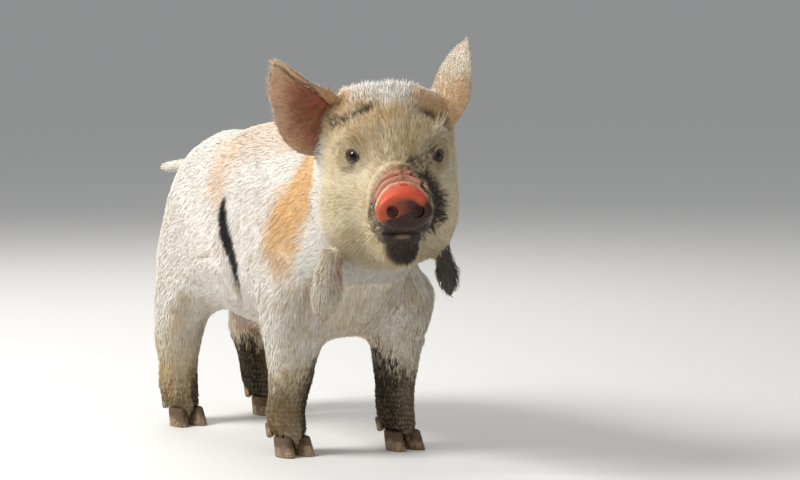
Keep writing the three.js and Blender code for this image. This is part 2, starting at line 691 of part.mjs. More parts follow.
for (const [name, stance] of Object.entries(STANCE)) {
  const horn = [...toesOf(stance, GAP), ...dewclawsOf(stance, GAP)];
  pieces[name] = biggest(subtractAll(pieces[name], horn.map(([, geometry]) => toSolid(geometry))));
  for (const [side, geometry] of toesOf(stance)) {
    addPiece(`hoof_${name}_${side}`, toSolid(geometry), MATERIALS.horn);
  }
  for (const [side, geometry] of dewclawsOf(stance)) {
    addPiece(`dewclaw_${name}_${side}`, toSolid(geometry), MATERIALS.horn);
  }
}

for (const [name, solid] of Object.entries(pieces))
  addPiece(name, solid, name === 'snout' ? MATERIALS.snout : MATERIALS.coat);

// The model stands with the middle of its outline over the origin.
const middle = new THREE.Box3().setFromObject(model).getCenter(V(0, 0, 0));
for (const piece of model.children) piece.geometry.translate(-middle.x, -middle.y, 0);

export default model;
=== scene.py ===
import math
from functools import cached_property

import bpy
import numpy as np
from mathutils import Matrix, Vector
from mathutils.bvhtree import BVHTree
from mathutils.kdtree import KDTree


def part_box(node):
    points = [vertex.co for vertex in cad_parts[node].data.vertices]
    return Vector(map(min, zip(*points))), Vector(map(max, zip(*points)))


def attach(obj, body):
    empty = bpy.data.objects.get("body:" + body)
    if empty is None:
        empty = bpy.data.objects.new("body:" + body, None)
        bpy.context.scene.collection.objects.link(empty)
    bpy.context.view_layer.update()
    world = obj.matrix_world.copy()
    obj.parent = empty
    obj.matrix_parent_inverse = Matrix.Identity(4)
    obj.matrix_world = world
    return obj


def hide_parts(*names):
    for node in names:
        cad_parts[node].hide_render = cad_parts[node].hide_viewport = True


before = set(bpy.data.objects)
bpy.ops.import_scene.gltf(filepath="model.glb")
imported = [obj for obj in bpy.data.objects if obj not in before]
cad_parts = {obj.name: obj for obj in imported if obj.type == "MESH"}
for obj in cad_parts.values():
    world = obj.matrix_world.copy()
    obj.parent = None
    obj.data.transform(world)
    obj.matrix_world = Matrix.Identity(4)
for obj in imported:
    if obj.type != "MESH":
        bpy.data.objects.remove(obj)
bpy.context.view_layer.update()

# A kunekune piglet about six weeks old, standing and looking at the viewer. One skin stands for
# all the solids of flesh, and a coat of tufts lies over it. Lengths in this script are in
# millimetres until a mesh is made, and the animal's head is towards -Y and its left towards +X.

MM = 0.001
LEGS = ("foreleg_right", "foreleg_left", "hindleg_right", "hindleg_left")
FLESH = ("trunk", "neck", "head", "jaw", "snout", "ear_right", "ear_left", "tassel_right",
         "tassel_left", "tail") + LEGS
SIDES = (("right", -1.0), ("left", 1.0))
UP = np.array([0.0, 0.0, 1.0])
random = np.random.default_rng(11)


# ---- Small tools --------------------------------------------------------------------------------

def unit(v):
    v = np.asarray(v, float)
    return v / np.maximum(np.linalg.norm(v, axis=-1, keepdims=True), 1e-12)


def smoothstep(low, high, x):
    t = np.clip((x - low) / (high - low), 0.0, 1.0)
    return t * t * (3.0 - 2.0 * t)


def hill(x, width):
    """1 where x is 0, falling smoothly to nearly nothing at about 2 widths."""
    return np.exp(-(x / width) ** 2)


def corners(node):
    low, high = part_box(node)
    return np.array(low) / MM, np.array(high) / MM


def middle(node):
    low, high = corners(node)
    return (low + high) / 2


def arrays_in(mesh):
    """A mesh as points in millimetres and triangles."""
    points = np.empty(len(mesh.vertices) * 3, np.float32)
    mesh.vertices.foreach_get("co", points)
    mesh.calc_loop_triangles()
    faces = np.empty(len(mesh.loop_triangles) * 3, np.int32)
    mesh.loop_triangles.foreach_get("vertices", faces)
    return points.reshape(-1, 3).astype(float) / MM, faces.reshape(-1, 3)


def solid_of(node):
    """A CAD node's points, welded where they meet, and its triangles."""
    points, faces = arrays_in(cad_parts[node].data)
    _, first, again = np.unique(
        np.round(points, 3), axis=0, return_index=True, return_inverse=True)
    faces = again.reshape(-1)[faces]
    whole = (faces != np.roll(faces, 1, axis=1)).all(axis=1)
    return points[first], faces[whole]


def face_normals(points, faces):
    a, b, c = (points[faces[:, i]] for i in range(3))
    return np.cross(b - a, c - a)


def normals_of(points, faces):
    across = face_normals(points, faces)
    total = np.zeros_like(points)
    for axis in range(3):
        for corner in range(3):
            total[:, axis] += np.bincount(faces[:, corner], across[:, axis], len(points))
    return unit(total)


def mesh_from(name, points, faces):
    """A smooth-shaded mesh from points in millimetres and equal-sized faces."""
    mesh = bpy.data.meshes.new(name)
    mesh.vertices.add(len(points))
    mesh.vertices.foreach_set("co", (np.asarray(points) * MM).astype(np.float32).ravel())
    mesh.loops.add(faces.size)
    mesh.loops.foreach_set("vertex_index", np.asarray(faces, np.int32).ravel())
    mesh.polygons.add(len(faces))
    mesh.polygons.foreach_set("loop_start", np.arange(0, faces.size, faces.shape[1], dtype=np.int32))
    mesh.polygons.foreach_set("use_smooth", np.ones(len(faces), bool))
    mesh.update(calc_edges=True)
    return mesh


def object_from(name, points, faces, material=None):
    piece = bpy.data.objects.new(name, mesh_from(name, points, faces))
    bpy.context.scene.collection.objects.link(piece)
    if material:
        piece.data.materials.append(material)
    return piece


def arrays_of(piece):
    """The points and triangles of an object with its modifiers applied."""
    graph = bpy.context.evaluated_depsgraph_get()
    mesh = bpy.data.meshes.new_from_object(piece.evaluated_get(graph), depsgraph=graph)
    result = arrays_in(mesh)
    bpy.data.meshes.remove(mesh)
    return result


class Links:
    """Which points of a mesh are joined by an edge, for averaging over neighbours."""

    def __init__(self, count, faces):
        pairs = np.concatenate([faces[:, [0, 1]], faces[:, [1, 2]], faces[:, [2, 0]]])
        pairs = np.unique(np.sort(pairs, axis=1), axis=0)
        both = np.concatenate([pairs, pairs[:, ::-1]])
        both = both[np.argsort(both[:, 0], kind="stable")]
        self.other = both[:, 1]
        self.start = np.searchsorted(both[:, 0], np.arange(count))
        self.count = np.bincount(both[:, 0], minlength=count)

    def mean(self, values):
        total = np.add.reduceat(values[self.other], self.start, axis=0)
        return (total.T / self.count).T

    def relax(self, values, rounds, share=1.0):
        share = share[:, None] if np.ndim(share) and values.ndim > 1 else share
        for _ in range(rounds):
            values = values + share * (self.mean(values) - values)
        return values


def refined(points, faces, chosen):
    """Splits every edge whose two ends are chosen, and the triangles on them."""
    pairs = np.sort(np.concatenate([faces[:, [0, 1]], faces[:, [1, 2]], faces[:, [2, 0]]]), axis=1)
    edges, which = np.unique(pairs, axis=0, return_inverse=True)
    which = which.reshape(3, -1).T
    split = chosen[edges[:, 0]] & chosen[edges[:, 1]]
    fresh = np.full(len(edges), -1)
    fresh[split] = len(points) + np.arange(split.sum())
    points = np.concatenate([points, points[edges[split]].mean(axis=1)])
    made = [faces[~split[which].any(axis=1)]]
    number = split[which].sum(axis=1)
    mid = fresh[which]
    whole = number == 3
    a, b, c = faces[whole].T
    ab, bc, ca = mid[whole].T
    made += [np.stack(t, 1) for t in ((a, ab, ca), (ab, b, bc), (ca, bc, c), (ab, bc, ca))]
    for turn in range(3):
        f = np.roll(faces, -turn, axis=1)
        m = np.roll(mid, -turn, axis=1)
        one = (number == 1) & (m[:, 0] >= 0)
        a, b, c = f[one].T
        ab = m[one, 0]
        made += [np.stack((a, ab, c), 1), np.stack((ab, b, c), 1)]
        two = (number == 2) & (m[:, 2] < 0)
        a, b, c = f[two].T
        ab, bc = m[two, 0], m[two, 1]
        made += [np.stack(t, 1) for t in ((a, ab, c), (ab, bc, c), (ab, b, bc))]
    return points, np.concatenate(made)


def noise(points, size, seed=0):
    """Smooth value noise from -1 to 1, with lumps about the given size across."""
    p = np.asarray(points) / size + 37.2 + 11.7 * seed
    cell = np.floor(p).astype(np.int64)
    t = p - cell
    t = t * t * (3.0 - 2.0 * t)
    total = np.zeros(len(p))
    for corner in range(8):
        step = np.array([corner & 1, corner >> 1 & 1, corner >> 2 & 1])
        at = cell + step
        mixed = at[:, 0] * 73856093 ^ at[:, 1] * 19349663 ^ at[:, 2] * 83492791
        mixed = (mixed ^ mixed >> 13) * 1274126177 & 0x7FFFFFFF
        value = (mixed ^ mixed >> 16) % 10007 / 5003.0 - 1.0
        total += value * np.prod(np.where(step, t, 1.0 - t), axis=1)
    return total


# ---- Landmarks ----------------------------------------------------------------------------------

MIDLINE = middle("trunk")[0]
EYE_RADIUS = float(np.ptp(np.stack(corners("eye_right")), axis=0)[2] / 2)
EYES = {name: middle(f"eye_{name}") for name, _ in SIDES}
LATERAL = unit((EYES["left"] - EYES["right"]) * [1, 1, 0])
AHEAD = np.cross(LATERAL, UP)
FACE_AXES = np.stack([LATERAL, -AHEAD, UP])
# The origin of the face's frame is in the brow, a little above and ahead of the eyes.
ORIGIN = (EYES["right"] + EYES["left"]) / 2 + 3.0 * UP + 0.75 * AHEAD


def to_face(points):
    """In the face's frame: x to the animal's left, y back, z up, from between the brows."""
    return (points - ORIGIN) @ FACE_AXES.T


def from_face(points):
    return np.asarray(points, float) @ FACE_AXES + ORIGIN


def halved(points):
    """The body folded over its middle: x becomes the distance to either side of it."""
    return np.column_stack([np.abs(points[:, 0] - MIDLINE), points[:, 1:]])


# ---- Camera, light and floor ----------------------------------------------------------------------

VIEW = {"azimuth": math.radians(-31), "elevation": math.radians(5), "distance": 2.4}
SPAN = 0.68  # the width that the camera takes in at the animal
SENSOR = 36
AIM = {"right": 0.09945, "up": 0.1649, "from": (0.0092, 0.0401, 0.0)}
# Each lamp: its place to the camera's right, towards the camera and up, its size, power and tint.
LAMPS = {
    "key": ((-1.25, 0.35, 1.15), 0.7, 33.0, (1.0, 0.985, 0.965)),
    "fill": ((0.75, 1.5, 0.6), 1.4, 5.0, (0.95, 0.98, 1.0)),
    "rim": ((-0.3, -1.3, 1.2), 0.9, 11.0, (1.0, 0.98, 0.94)),
}
WORLD_LIGHT = 0.35
FLOOR_HALF = 400.0


def look():
    azimuth, elevation = VIEW["azimuth"], VIEW["elevation"]
    back = Vector((math.sin(azimuth) * math.cos(elevation),
                   -math.cos(azimuth) * math.cos(elevation), math.sin(elevation)))
    right = Vector((math.cos(azimuth), math.sin(azimuth), 0))
    return right, back.cross(right), back


def place(thing, right, up, back, at):
    thing.matrix_world = Matrix.Translation(at) @ Matrix((right, up, back)).transposed().to_4x4()
    bpy.context.scene.collection.objects.link(thing)


def set_the_stage():
    right, up, back = look()
    aim = right * AIM["right"] + up * AIM["up"] + Vector(AIM["from"])
    lens = bpy.data.cameras.new("camera")
    lens.sensor_width = SENSOR
    lens.lens = VIEW["distance"] * SENSOR / SPAN
    camera = bpy.data.objects.new("camera", lens)
    place(camera, right, up, back, aim + back * VIEW["distance"])
    bpy.context.scene.camera = camera

    target = Vector((0, 0, 0.16))
    flat_back = Vector((back.x, back.y, 0)).normalized()
    for name, ((to_right, to_back, height), size, power, tint) in LAMPS.items():
        light = bpy.data.lights.new(name, "AREA")
        light.size = size
        light.energy = power
        light.color = tint
        at = target + right * to_right + flat_back * to_back + Vector((0, 0, height))
        axis = (at - target).normalized()
        across = Vector((0, 0, 1)).cross(axis).normalized()
        place(bpy.data.objects.new(name, light), across, axis.cross(across), axis, at)

    bpy.context.scene.view_settings.view_transform = "Standard"
    world = bpy.data.worlds.new("studio")
    world.use_nodes = True
    world.node_tree.nodes["Background"].inputs["Color"].default_value = (0.95, 0.97, 1.0, 1)
    world.node_tree.nodes["Background"].inputs["Strength"].default_value = WORLD_LIGHT
    bpy.context.scene.world = world


def floor():
    """A plain pale floor, wide enough to reach the horizon."""
    half = FLOOR_HALF / MM
    square = np.array([[-half, -half, 0], [half, -half, 0], [half, half, 0], [-half, half, 0]])
    material = bpy.data.materials.new("floor")
    material.use_nodes = True
    shader = material.node_tree.nodes["Principled BSDF"]
    shader.inputs["Base Color"].default_value = (0.8, 0.79, 0.77, 1)
    shader.inputs["Roughness"].default_value = 0.85
    object_from("floor", square, np.array([[0, 1, 2, 3]]), material)


set_the_stage()
floor()
# ---- The skin: one smooth surface, the coat's depth inside the solids of flesh --------------------

VOXEL = 1.2
# How far the solids are swollen so that they melt together, and the share of a thin swelling
# that is taken back afterwards.
SWELL = {"ear": 1.0}
THIN_SWELL = 0.35
TAKEN_BACK = 0.6
SKIN_FACES = 192000

# How many rounds of smoothing each region of the skin gets, and how far it lies under the coat.
ROUNDS = {"trunk": 90, "neck": 75, "head": 26, "jaw": 18, "snout": 5, "ear": 5, "tassel": 9,
          "tail": 8, "foreleg": 36, "hindleg": 40}
DEPTH = {"trunk": 1.9, "neck": 1.9, "head": 0.9, "jaw": 1.0, "snout": 0.1, "ear": 0.4,
         "tassel": 0.9, "tail": 0.9, "foreleg": 1.2, "hindleg": 1.3}
KIND = [node.split("_")[0] for node in FLESH]


def gathered(pieces):
    """Points and faces of several pieces as those of one."""
    starts = np.cumsum([0] + [len(points) for points, _ in pieces])
    faces = [faces + start for (_, faces), start in zip(pieces, starts)]
    return np.concatenate([points for points, _ in pieces]), np.concatenate(faces)


def remeshed(name, points, faces, voxel):
    """One closed surface of small even faces round the given ones."""
    draft = object_from(name, points, faces)
    remesh = draft.modifiers.new("melt", "REMESH")
    remesh.mode = "VOXEL"
    remesh.voxel_size = voxel * MM
    result = arrays_of(draft)
    bpy.data.objects.remove(draft)
    return result


def melted():
    """The solids of flesh and the eyes as one skin."""
    pieces = []
    for node in FLESH + ("eye_right", "eye_left"):
        points, faces = solid_of(node)
        swell = SWELL.get(node.split("_")[0], THIN_SWELL)
        pieces.append((points + normals_of(points, faces) * swell, faces))
    return remeshed("shell", *gathered(pieces), VOXEL)


def nearest_node(points):
    """For each point, the place in FLESH of the node whose surface is nearest."""
    solids = [solid_of(node) for node in FLESH]
    owner = np.repeat(np.arange(len(FLESH)), [len(faces) for _, faces in solids])
    corners_of, faces = gathered(solids)
    tree = BVHTree.FromPolygons(corners_of.tolist(), faces.tolist())
    return np.array([owner[tree.find_nearest(p)[2]] for p in points.tolist()])


def by_node(table, nodes):
    return np.array([float(table[kind]) for kind in KIND])[nodes]


# The eyelids: an opening over each eyeball, in millimetres along the ball's surface.
LID = {"half_width": 5.6, "half_height": 3.75, "pinch": 1.6, "slant": math.radians(14)}
LID_REACH = 15.0
FAR_FROM_LIDS = 99.0
EYE_FRAMES = {}


def eye_axes(name, side, points, normals):
    """Out of the eye, towards the ear and up, for one eye."""
    away = np.linalg.norm(points - EYES[name], axis=1)
    ring = (away > EYE_RADIUS + 2) & (away < EYE_RADIUS + 7)
    out = unit(normals[ring].mean(axis=0))
    up = unit(UP - UP @ out * out)
    back = np.cross(up, out)
    back *= np.sign(back @ LATERAL) * side
    slant = LID["slant"]
    return (out, back * math.cos(slant) + up * math.sin(slant),
            up * math.cos(slant) - back * math.sin(slant))


def opening(name, points):
    """How far outside the edge of the lids each point is, measured on the eyeball, and how far
    above and how far behind the eye's middle it lies, as shares of the way."""
    out, back, up = EYE_FRAMES[name]
    direction = unit(points - EYES[name])
    turn = np.arccos(np.clip(direction @ out, -1, 1)) * EYE_RADIUS
    flat = unit(np.stack([direction @ back, direction @ up], 1))
    across, over = flat[:, 0] * turn, flat[:, 1] * turn
    p = LID["pinch"]
    height = LID["half_height"] * np.where(over > 0, 1.08, 0.92)
    size = (np.abs(across / LID["half_width"]) ** p + np.abs(over / height) ** p) ** (1 / p)
    return (size - 1) * LID["half_height"], flat[:, 1], flat[:, 0]


def past_lids(points):
    """How far outside the edge of the lids each point is, for one eye after the other."""
    for name, _ in SIDES:
        edge = np.full(len(points), FAR_FROM_LIDS)
        close = np.linalg.norm(points - EYES[name], axis=1) < EYE_RADIUS + 9
        edge[close] = opening(name, points[close])[0]
        yield edge


# Folds round the eye: distance outside the edge of the lids, width and rise, above and below it.
UPPER_FOLDS = ((3.3, 0.6, -1.15), (5.2, 1.3, 0.85), (7.6, 0.8, -0.5))
LOWER_FOLDS = ((3.0, 0.55, -0.9), (4.8, 1.1, 0.55), (6.6, 0.7, -0.75), (8.6, 1.4, 0.4),
               (10.6, 0.8, -0.45))


def with_lids(points, normals):
    moved = points.copy()
    for name, side in SIDES:
        EYE_FRAMES[name] = eye_axes(name, side, points, normals)
        rel = points - EYES[name]
        away = np.linalg.norm(rel, axis=1)
        near = away < EYE_RADIUS + LID_REACH
        edge, above, behind = (v[near] for v in opening(name, points))
        radius = away[near]
        lid = EYE_RADIUS + 0.45 + 0.5 * hill(edge - 1.3, 0.9) - 0.45 * np.maximum(edge - 2.0, 0)
        lid = lid + (EYE_RADIUS - 2.2 - lid) * (1 - smoothstep(-0.6, 0.25, edge))
        joined = 0.5 * (radius + lid + np.sqrt((radius - lid) ** 2 + 0.5))
        fresh = joined + (lid - joined) * (1 - smoothstep(0.3, 1.3, edge))
        upper = smoothstep(-0.2, 0.5, above)
        lower = smoothstep(-0.1, 0.6, -above) * smoothstep(-0.9, 0.1, behind)
        for share, folds in ((upper, UPPER_FOLDS), (lower, LOWER_FOLDS)):
            for at, width, height in folds:
                fresh += share * height * hill(edge - at - 0.35 * behind, width)
        fade = 1 - smoothstep(LID_REACH - 6, LID_REACH, radius - EYE_RADIUS)
        moved[near] += unit(rel[near]) * ((fresh - radius) * fade)[:, None]
    return moved


# The snout's disc and its nostrils, in the face's frame.
DISC = np.array([0.0, -55.0, -43.4])
DISC_OUT = np.array([0.0, -math.cos(math.radians(6)), math.sin(math.radians(6))])
DISC_UP = np.array([0.0, DISC_OUT[2], -DISC_OUT[1]])
DISC_RADII = (22.3, 17.2)
NOSTRIL = {"aside": 10.2, "over": 1.5, "half_width": 3.1, "half_height": 3.5, "splay": 0.25}


def disc_frame(points):
    """Across, up and out from the middle of the snout's disc."""
    rel = to_face(points) - DISC
    return rel[:, 0], rel @ DISC_UP, rel @ DISC_OUT


def rim_share(across, over):
    """0 at the middle of the disc and 1 at its rim."""
    return np.hypot(across / DISC_RADII[0], over / DISC_RADII[1])


def domed(points):
    """Gives the snout's disc a high arched top and a flatter lower edge."""
    across, over, out = disc_frame(points)
    share = smoothstep(-15, -8, out) * smoothstep(1.5, 1.15, rim_share(across, over))
    rise = np.where(over < 0, -0.3 * over, 0.08 * over)
    return points + (share * rise)[:, None] * (DISC_UP @ FACE_AXES)


def mouth_line(y):
    """The height of the parting of the lips in the face's frame, for a place y along the jaw."""
    return -60.5 - 0.1 * (y + 30) + 0.03 * np.maximum(y + 24, 0) ** 2


def beyond(points, path, radii=(0, 0)):
    """How far points lie outside a tube of changing radius along a path."""
    path = np.array(path, float)
    radii = np.interp(np.linspace(0, 1, len(path)), np.linspace(0, 1, len(radii)), radii)
    best = np.full(len(points), np.inf)
    for a, b, ra, rb in zip(path[:-1], path[1:], radii[:-1], radii[1:]):
        t = np.clip((points - a) @ (b - a) / ((b - a) @ (b - a)), 0, 1)
        away = np.linalg.norm(points - a - t[:, None] * (b - a), axis=1) - ra - (rb - ra) * t
        best = np.minimum(best, away)
    return best


LOWER_LIP = [(-7, -48, -61.5), (9, -48, -61.5)]
# The dark crease under the folded upper rim of the right ear, in the face's frame.
EAR_CREASE = np.array([(-88, 27, 66), (-83.8, 27, 63.5), (-78.4, 27, 58.8), (-72.9, 27, 54.2),
                       (-66, 27.5, 51), (-60.4, 28, 48), (-52.3, 31.2, 40), (-46.5, 34.6, 34.4)])


# The noises that roughen the markings and the rolls, from fine to broad: size and seed.
GRAINS = ((2.2, 5), (6.0, 6), (9.0, 1), (18.0, 7))


class Places:
    """Points on the skin or in the coat, and what its relief, hair and markings ask of them.
    Where stray is given, it is a chance from -1 to 1 for each hair."""

    def __init__(self, points, normals, nodes, stray=0.0):
        self.points, self.normals, self.stray = points, normals, stray
        self.x, self.y, self.z = points.T
        self.face = to_face(points)
        self.across, self.over, self.out = disc_frame(points)
        self.rim = rim_share(self.across, self.over)
        # 1 straight over the disc's middle and -1 straight under it.
        self.upward = self.over / np.hypot(self.across, self.over).clip(1)
        self.kind = np.array(KIND)[nodes]
        self.name = np.array(FLESH)[nodes]
        self.head = np.isin(self.kind, ("head", "jaw", "snout"))
        self.leg = np.isin(self.kind, ("foreleg", "hindleg"))
        self.snout = self.kind == "snout"
        self.both = halved(points)
        self.fine, self.rough, self.waver, self.broad = (
            noise(points, size, seed) for size, seed in GRAINS)

    @cached_property
    def inner(self):
        """1 on the inner sides of the legs and 0 on the outer."""
        return smoothstep(-0.2, 0.8, -self.normals[:, 0] * np.sign(self.x - MIDLINE))

    @cached_property
    def lip(self):
        return 1 - smoothstep(0.5, 2.5, beyond(self.face, LOWER_LIP, (2.2, 2.2)))

    @cached_property
    def bare_disc(self):
        """The bare skin of the snout's disc, which reaches back round its lower edge."""
        edge = -6.5 + 6.2 * smoothstep(0.0, 0.5, self.upward)
        return self.snout & (self.out > edge + 0.8 * self.waver) & (self.rim < 1.35)

    @cached_property
    def over_crease(self):
        """How high places stand over the crease of the right ear."""
        return self.face[:, 2] - np.interp(self.face[:, 0], EAR_CREASE[:, 0], EAR_CREASE[:, 2])

    def nostrils(self):
        """For each nostril, 0 at its middle and 1 at its edge."""
        over = self.over - NOSTRIL["over"]
        for _, side in SIDES:
            aside = self.across - side * (NOSTRIL["aside"] + NOSTRIL["splay"] * over)
            yield np.hypot(aside / NOSTRIL["half_width"], over / NOSTRIL["half_height"])

    def strands(self, low, high, chance=0.8):
        """A fine pattern that breaks a marking up into strands."""
        return smoothstep(low, high, self.fine + chance * self.stray)


def laid_on(points, path, step=4.0):
    """A path of short steps whose every point is moved to the nearest of the skin's points."""
    path = np.array(path, float)
    knots = np.concatenate([[0], np.cumsum(np.linalg.norm(np.diff(path, axis=0), axis=1))])
    at = np.linspace(0, knots[-1], max(2, round(knots[-1] / step) + 1))
    even = np.stack([np.interp(at, knots, path[:, i]) for i in range(3)], 1)
    low, high = even.min(axis=0) - 15, even.max(axis=0) + 15
    near = points[((points > low) & (points < high)).all(axis=1)]
    if not len(near):
        return even
    return np.array([near[np.argmin(((near - p) ** 2).sum(axis=1))] for p in even])


def fold_rise(points, folds, middle_x=0.0):
    """The rise of folds that run along paths on the skin, each on the left and the right of the
    middle: a path, a width and a rise."""
    rise = np.zeros(len(points))
    for path, width, height in folds:
        for _, side in SIDES:
            path_here = laid_on(points, np.array(path) * [side, 1, 1] + [middle_x, 0, 0])
            low, high = path_here.min(axis=0) - 3 * width, path_here.max(axis=0) + 3 * width
            near = ((points > low) & (points < high)).all(axis=1)
            ends = [np.linalg.norm(points[near] - path_here[i], axis=1) for i in (0, -1)]
            taper = smoothstep(0.3 * width, 3.5 * width, np.minimum(*ends))
            rise[near] += height * taper * hill(beyond(points[near], path_here), width)
    return rise


# Rolls of skin over the top of the snout: distance ahead of the disc's middle, width and rise.
ROLLS = ((0.2, 0.9, -2.2), (-3.0, 1.6, 0.9), (-6.6, 1.0, -2.3), (-9.8, 1.7, 1.4), (-12.8, 0.9, -2.0),
         (-15.8, 1.7, 1.2), (-18.8, 1.0, -1.4), (-22.0, 2.2, 0.7), (-26.0, 1.4, -0.7))
# Wrinkles of the left half of the face, with their width and rise.
FACE_FOLDS = (
    ([(31, -9, -9), (36.4, -0.4, -13.6), (41, 5, -16.9)], 0.8, -1.0),
    ([(30, -10, -12.5), (35, -4, -17), (39, 1, -21)], 0.9, -0.8),
    ([(46, 14, -7), (43.5, 9, 2), (39, -1, 9)], 1.1, -0.9),
    ([(24, 9, 30), (14, 8.5, 34), (4, 9, 36)], 1.3, -0.7),
    ([(9, -16, 6), (10, -5, 16), (12, 3, 25)], 1.6, -0.6),
)
# Broader hollows and swellings: before the eyes, over them, at the temples, along the bridge of
# the snout, the cheeks and the forehead. The two on the middle are laid twice, so each has half
# its rise.
FACE_FORMS = (
    ([(23, -20, 2), (22, -29, -10), (26, -27, -22)], 6.5, -2.0),
    ([(25, -16, 13), (34, -9, 14), (42, 2, 10)], 5.0, 1.5),
    ([(48, 16, 6), (46, 20, 18)], 8.0, -1.5),
    ([(0, -22, 2), (0, -33, -10), (0, -42, -18)], 8.0, 0.6),
    ([(36, -12, -22), (42, 0, -30), (46, 14, -34)], 10.0, 1.2),
    ([(0, -8, 20), (0, 2, 32)], 7.0, -0.4),
)


def raise_disc(at, rise):
    """The raised rim of the snout's disc, the nostrils and the groove between them."""
    front = smoothstep(2.0, 5.0, at.out) * smoothstep(1.25, 1.1, at.rim)
    upper = smoothstep(-6, 10, at.over)
    rise += front * ((0.7 + 0.7 * upper) * hill(at.rim - 0.84, 0.15) - 1.5 * hill(at.rim, 0.55))
    for slot in at.nostrils():
        rise -= front * (3.2 * hill(slot, 0.8) + 2.6 * (1 - smoothstep(0.6, 1.05, slot)))
        rise += front * 0.4 * hill(slot - 1.6, 0.35)
    rise -= front * 0.9 * hill(at.across, 1.6) * smoothstep(-2, -12, at.over)


def raise_rolls(at, rise):
    """The rolls over the top of the snout, and one groove behind the disc at its lower sides."""
    bent = 0.03 * at.across ** 2 * smoothstep(0, 12, np.abs(at.across)) / 4
    wander = at.out + 1.2 * at.waver + bent
    top = smoothstep(-0.15, 0.5, at.upward) * (np.abs(at.across) < 40)
    for start, width, height in ROLLS:
        rise += top * height * hill(wander - start, width)
    low_side = (1 - top) * (at.rim < 2) * smoothstep(-14, -9, at.out)
    rise -= low_side * 1.2 * hill(at.out + 5.0, 1.2)


def raise_lips(at, rise):
    """The parting of the lips, and a lower lip that stands a little out."""
    x, y, z = at.face.T
    line = z - mouth_line(y) - 0.5 * np.cos(x / 3.2) * smoothstep(-50, -58, y)
    along = smoothstep(-4, -14, y) * smoothstep(-76, -60, y) * (np.abs(x) < 45)
    low = smoothstep(-40, -50, z)
    rise -= along * low * 2.2 * hill(line, 0.9)
    rise += along * low * (0.9 * hill(line - 3.2, 2.2) + 1.0 * hill(line + 3.6, 2.0))


def raise_right_ear(at, rise):
    """The right ear's upper rim, folded over a crease, and the low ridges of its hollow."""
    x, y, z = at.face.T
    ear = at.name == "ear_right"
    rise += (ear & (y < 38)) * (1.3 * hill(at.over_crease - 3.6, 2.4) - 1.6 * hill(at.over_crease, 1.0))
    ridge = np.arctan2(z - 44, -44 - x)
    rise += ear * smoothstep(-2, -8, at.over_crease) * 0.35 * np.cos(13 * ridge)


# Creases and swellings of the left half of the body: the path, width and rise.
BODY_FOLDS = (
    ([(68, 28, 186), (68, 26, 172), (66.5, 21.5, 160), (64, 17.5, 150), (60, 15.5, 140),
      (54, 18, 128), (49, 24, 117), (42, 36, 108)], 1.5, -2.2),
    ([(69, 36, 182), (68.5, 33, 168), (66, 29, 155), (61, 24, 141), (55, 27, 127)], 3.6, 1.3),
    ([(66, 76, 149), (67, 64, 151), (67.5, 50, 153.5), (67, 39, 156)], 2.4, -2.0),
    ([(66, 66, 143), (66, 46, 146), (63, 32, 143)], 3.5, 1.2),
    ([(62, -52, 146), (58, -49, 128), (48, -48, 112)], 2.6, -2.0),
    ([(28, -94, 140), (33, -90, 124), (34, -86, 108)], 2.8, -2.2),
    ([(57, 84, 128), (50, 74, 112), (42, 70, 104)], 2.6, -1.6),
    ([(66, -70, 100), (58, -82, 96), (48, -88, 98)], 2.2, -0.9),
    ([(48, -116, 214), (49, -108, 198), (48, -103, 184), (47, -96, 170)], 2.4, -1.6),
    ([(36, 178, 214), (42, 166, 188), (46, 158, 160)], 5.0, -1.0),
)
TEATS = [(sign * 17.0, -38.0 + 22.0 * row) for sign in (-1, 1) for row in range(5)]


def body_relief(at):
    rise = fold_rise(at.points, BODY_FOLDS, MIDLINE)
    down = smoothstep(-0.4, -0.8, at.normals[:, 2])
    for x, y in TEATS:
        away = np.hypot(at.x - MIDLINE - x, at.y - y)
        rise += 2.3 * hill(away, 1.7) * down * (at.z < 130)
    return rise


def sculpted(points, faces):
    """Moves the skin in and out for its lids, rolls, lips, folds and teats."""
    points = with_lids(points, normals_of(points, faces))
    at = Places(points, normals_of(points, faces), nearest_node(points))
    rise = np.zeros(len(points))
    for raise_part in (raise_disc, raise_rolls, raise_lips):
        raise_part(at, rise)
    rise += fold_rise(at.face, FACE_FOLDS) * (at.name == "head")
    rise += fold_rise(at.face, FACE_FORMS) * np.isin(at.name, ("head", "snout"))
    raise_right_ear(at, rise)
    rise += body_relief(at) * ~at.head
    return points + at.normals * rise[:, None]


TASSEL_ROOTS = [
    from_face([(-58, 30, -84), (-47, 22, -88), (-38, 24, -88)]),
    from_face([(34, 22, -84), (44, 20, -80), (52, 22, -84)]),
]


def smoothing_rounds(points, nodes, links):
    """How many rounds of smoothing each point gets, changing gradually from part to part."""
    rounds = by_node(ROUNDS, nodes)
    foot = np.isin(nodes, [FLESH.index(leg) for leg in LEGS])
    rounds = np.where(foot, 5 + (rounds - 5) * smoothstep(22, 50, points[:, 2]), rounds)
    rounds = links.relax(rounds, 12)
    # The tassels grow out of the cheeks over a soft fillet.
    for path in TASSEL_ROOTS:
        rounds = np.maximum(rounds, 34 * (1 - smoothstep(3, 10, beyond(points, path))))
    return rounds


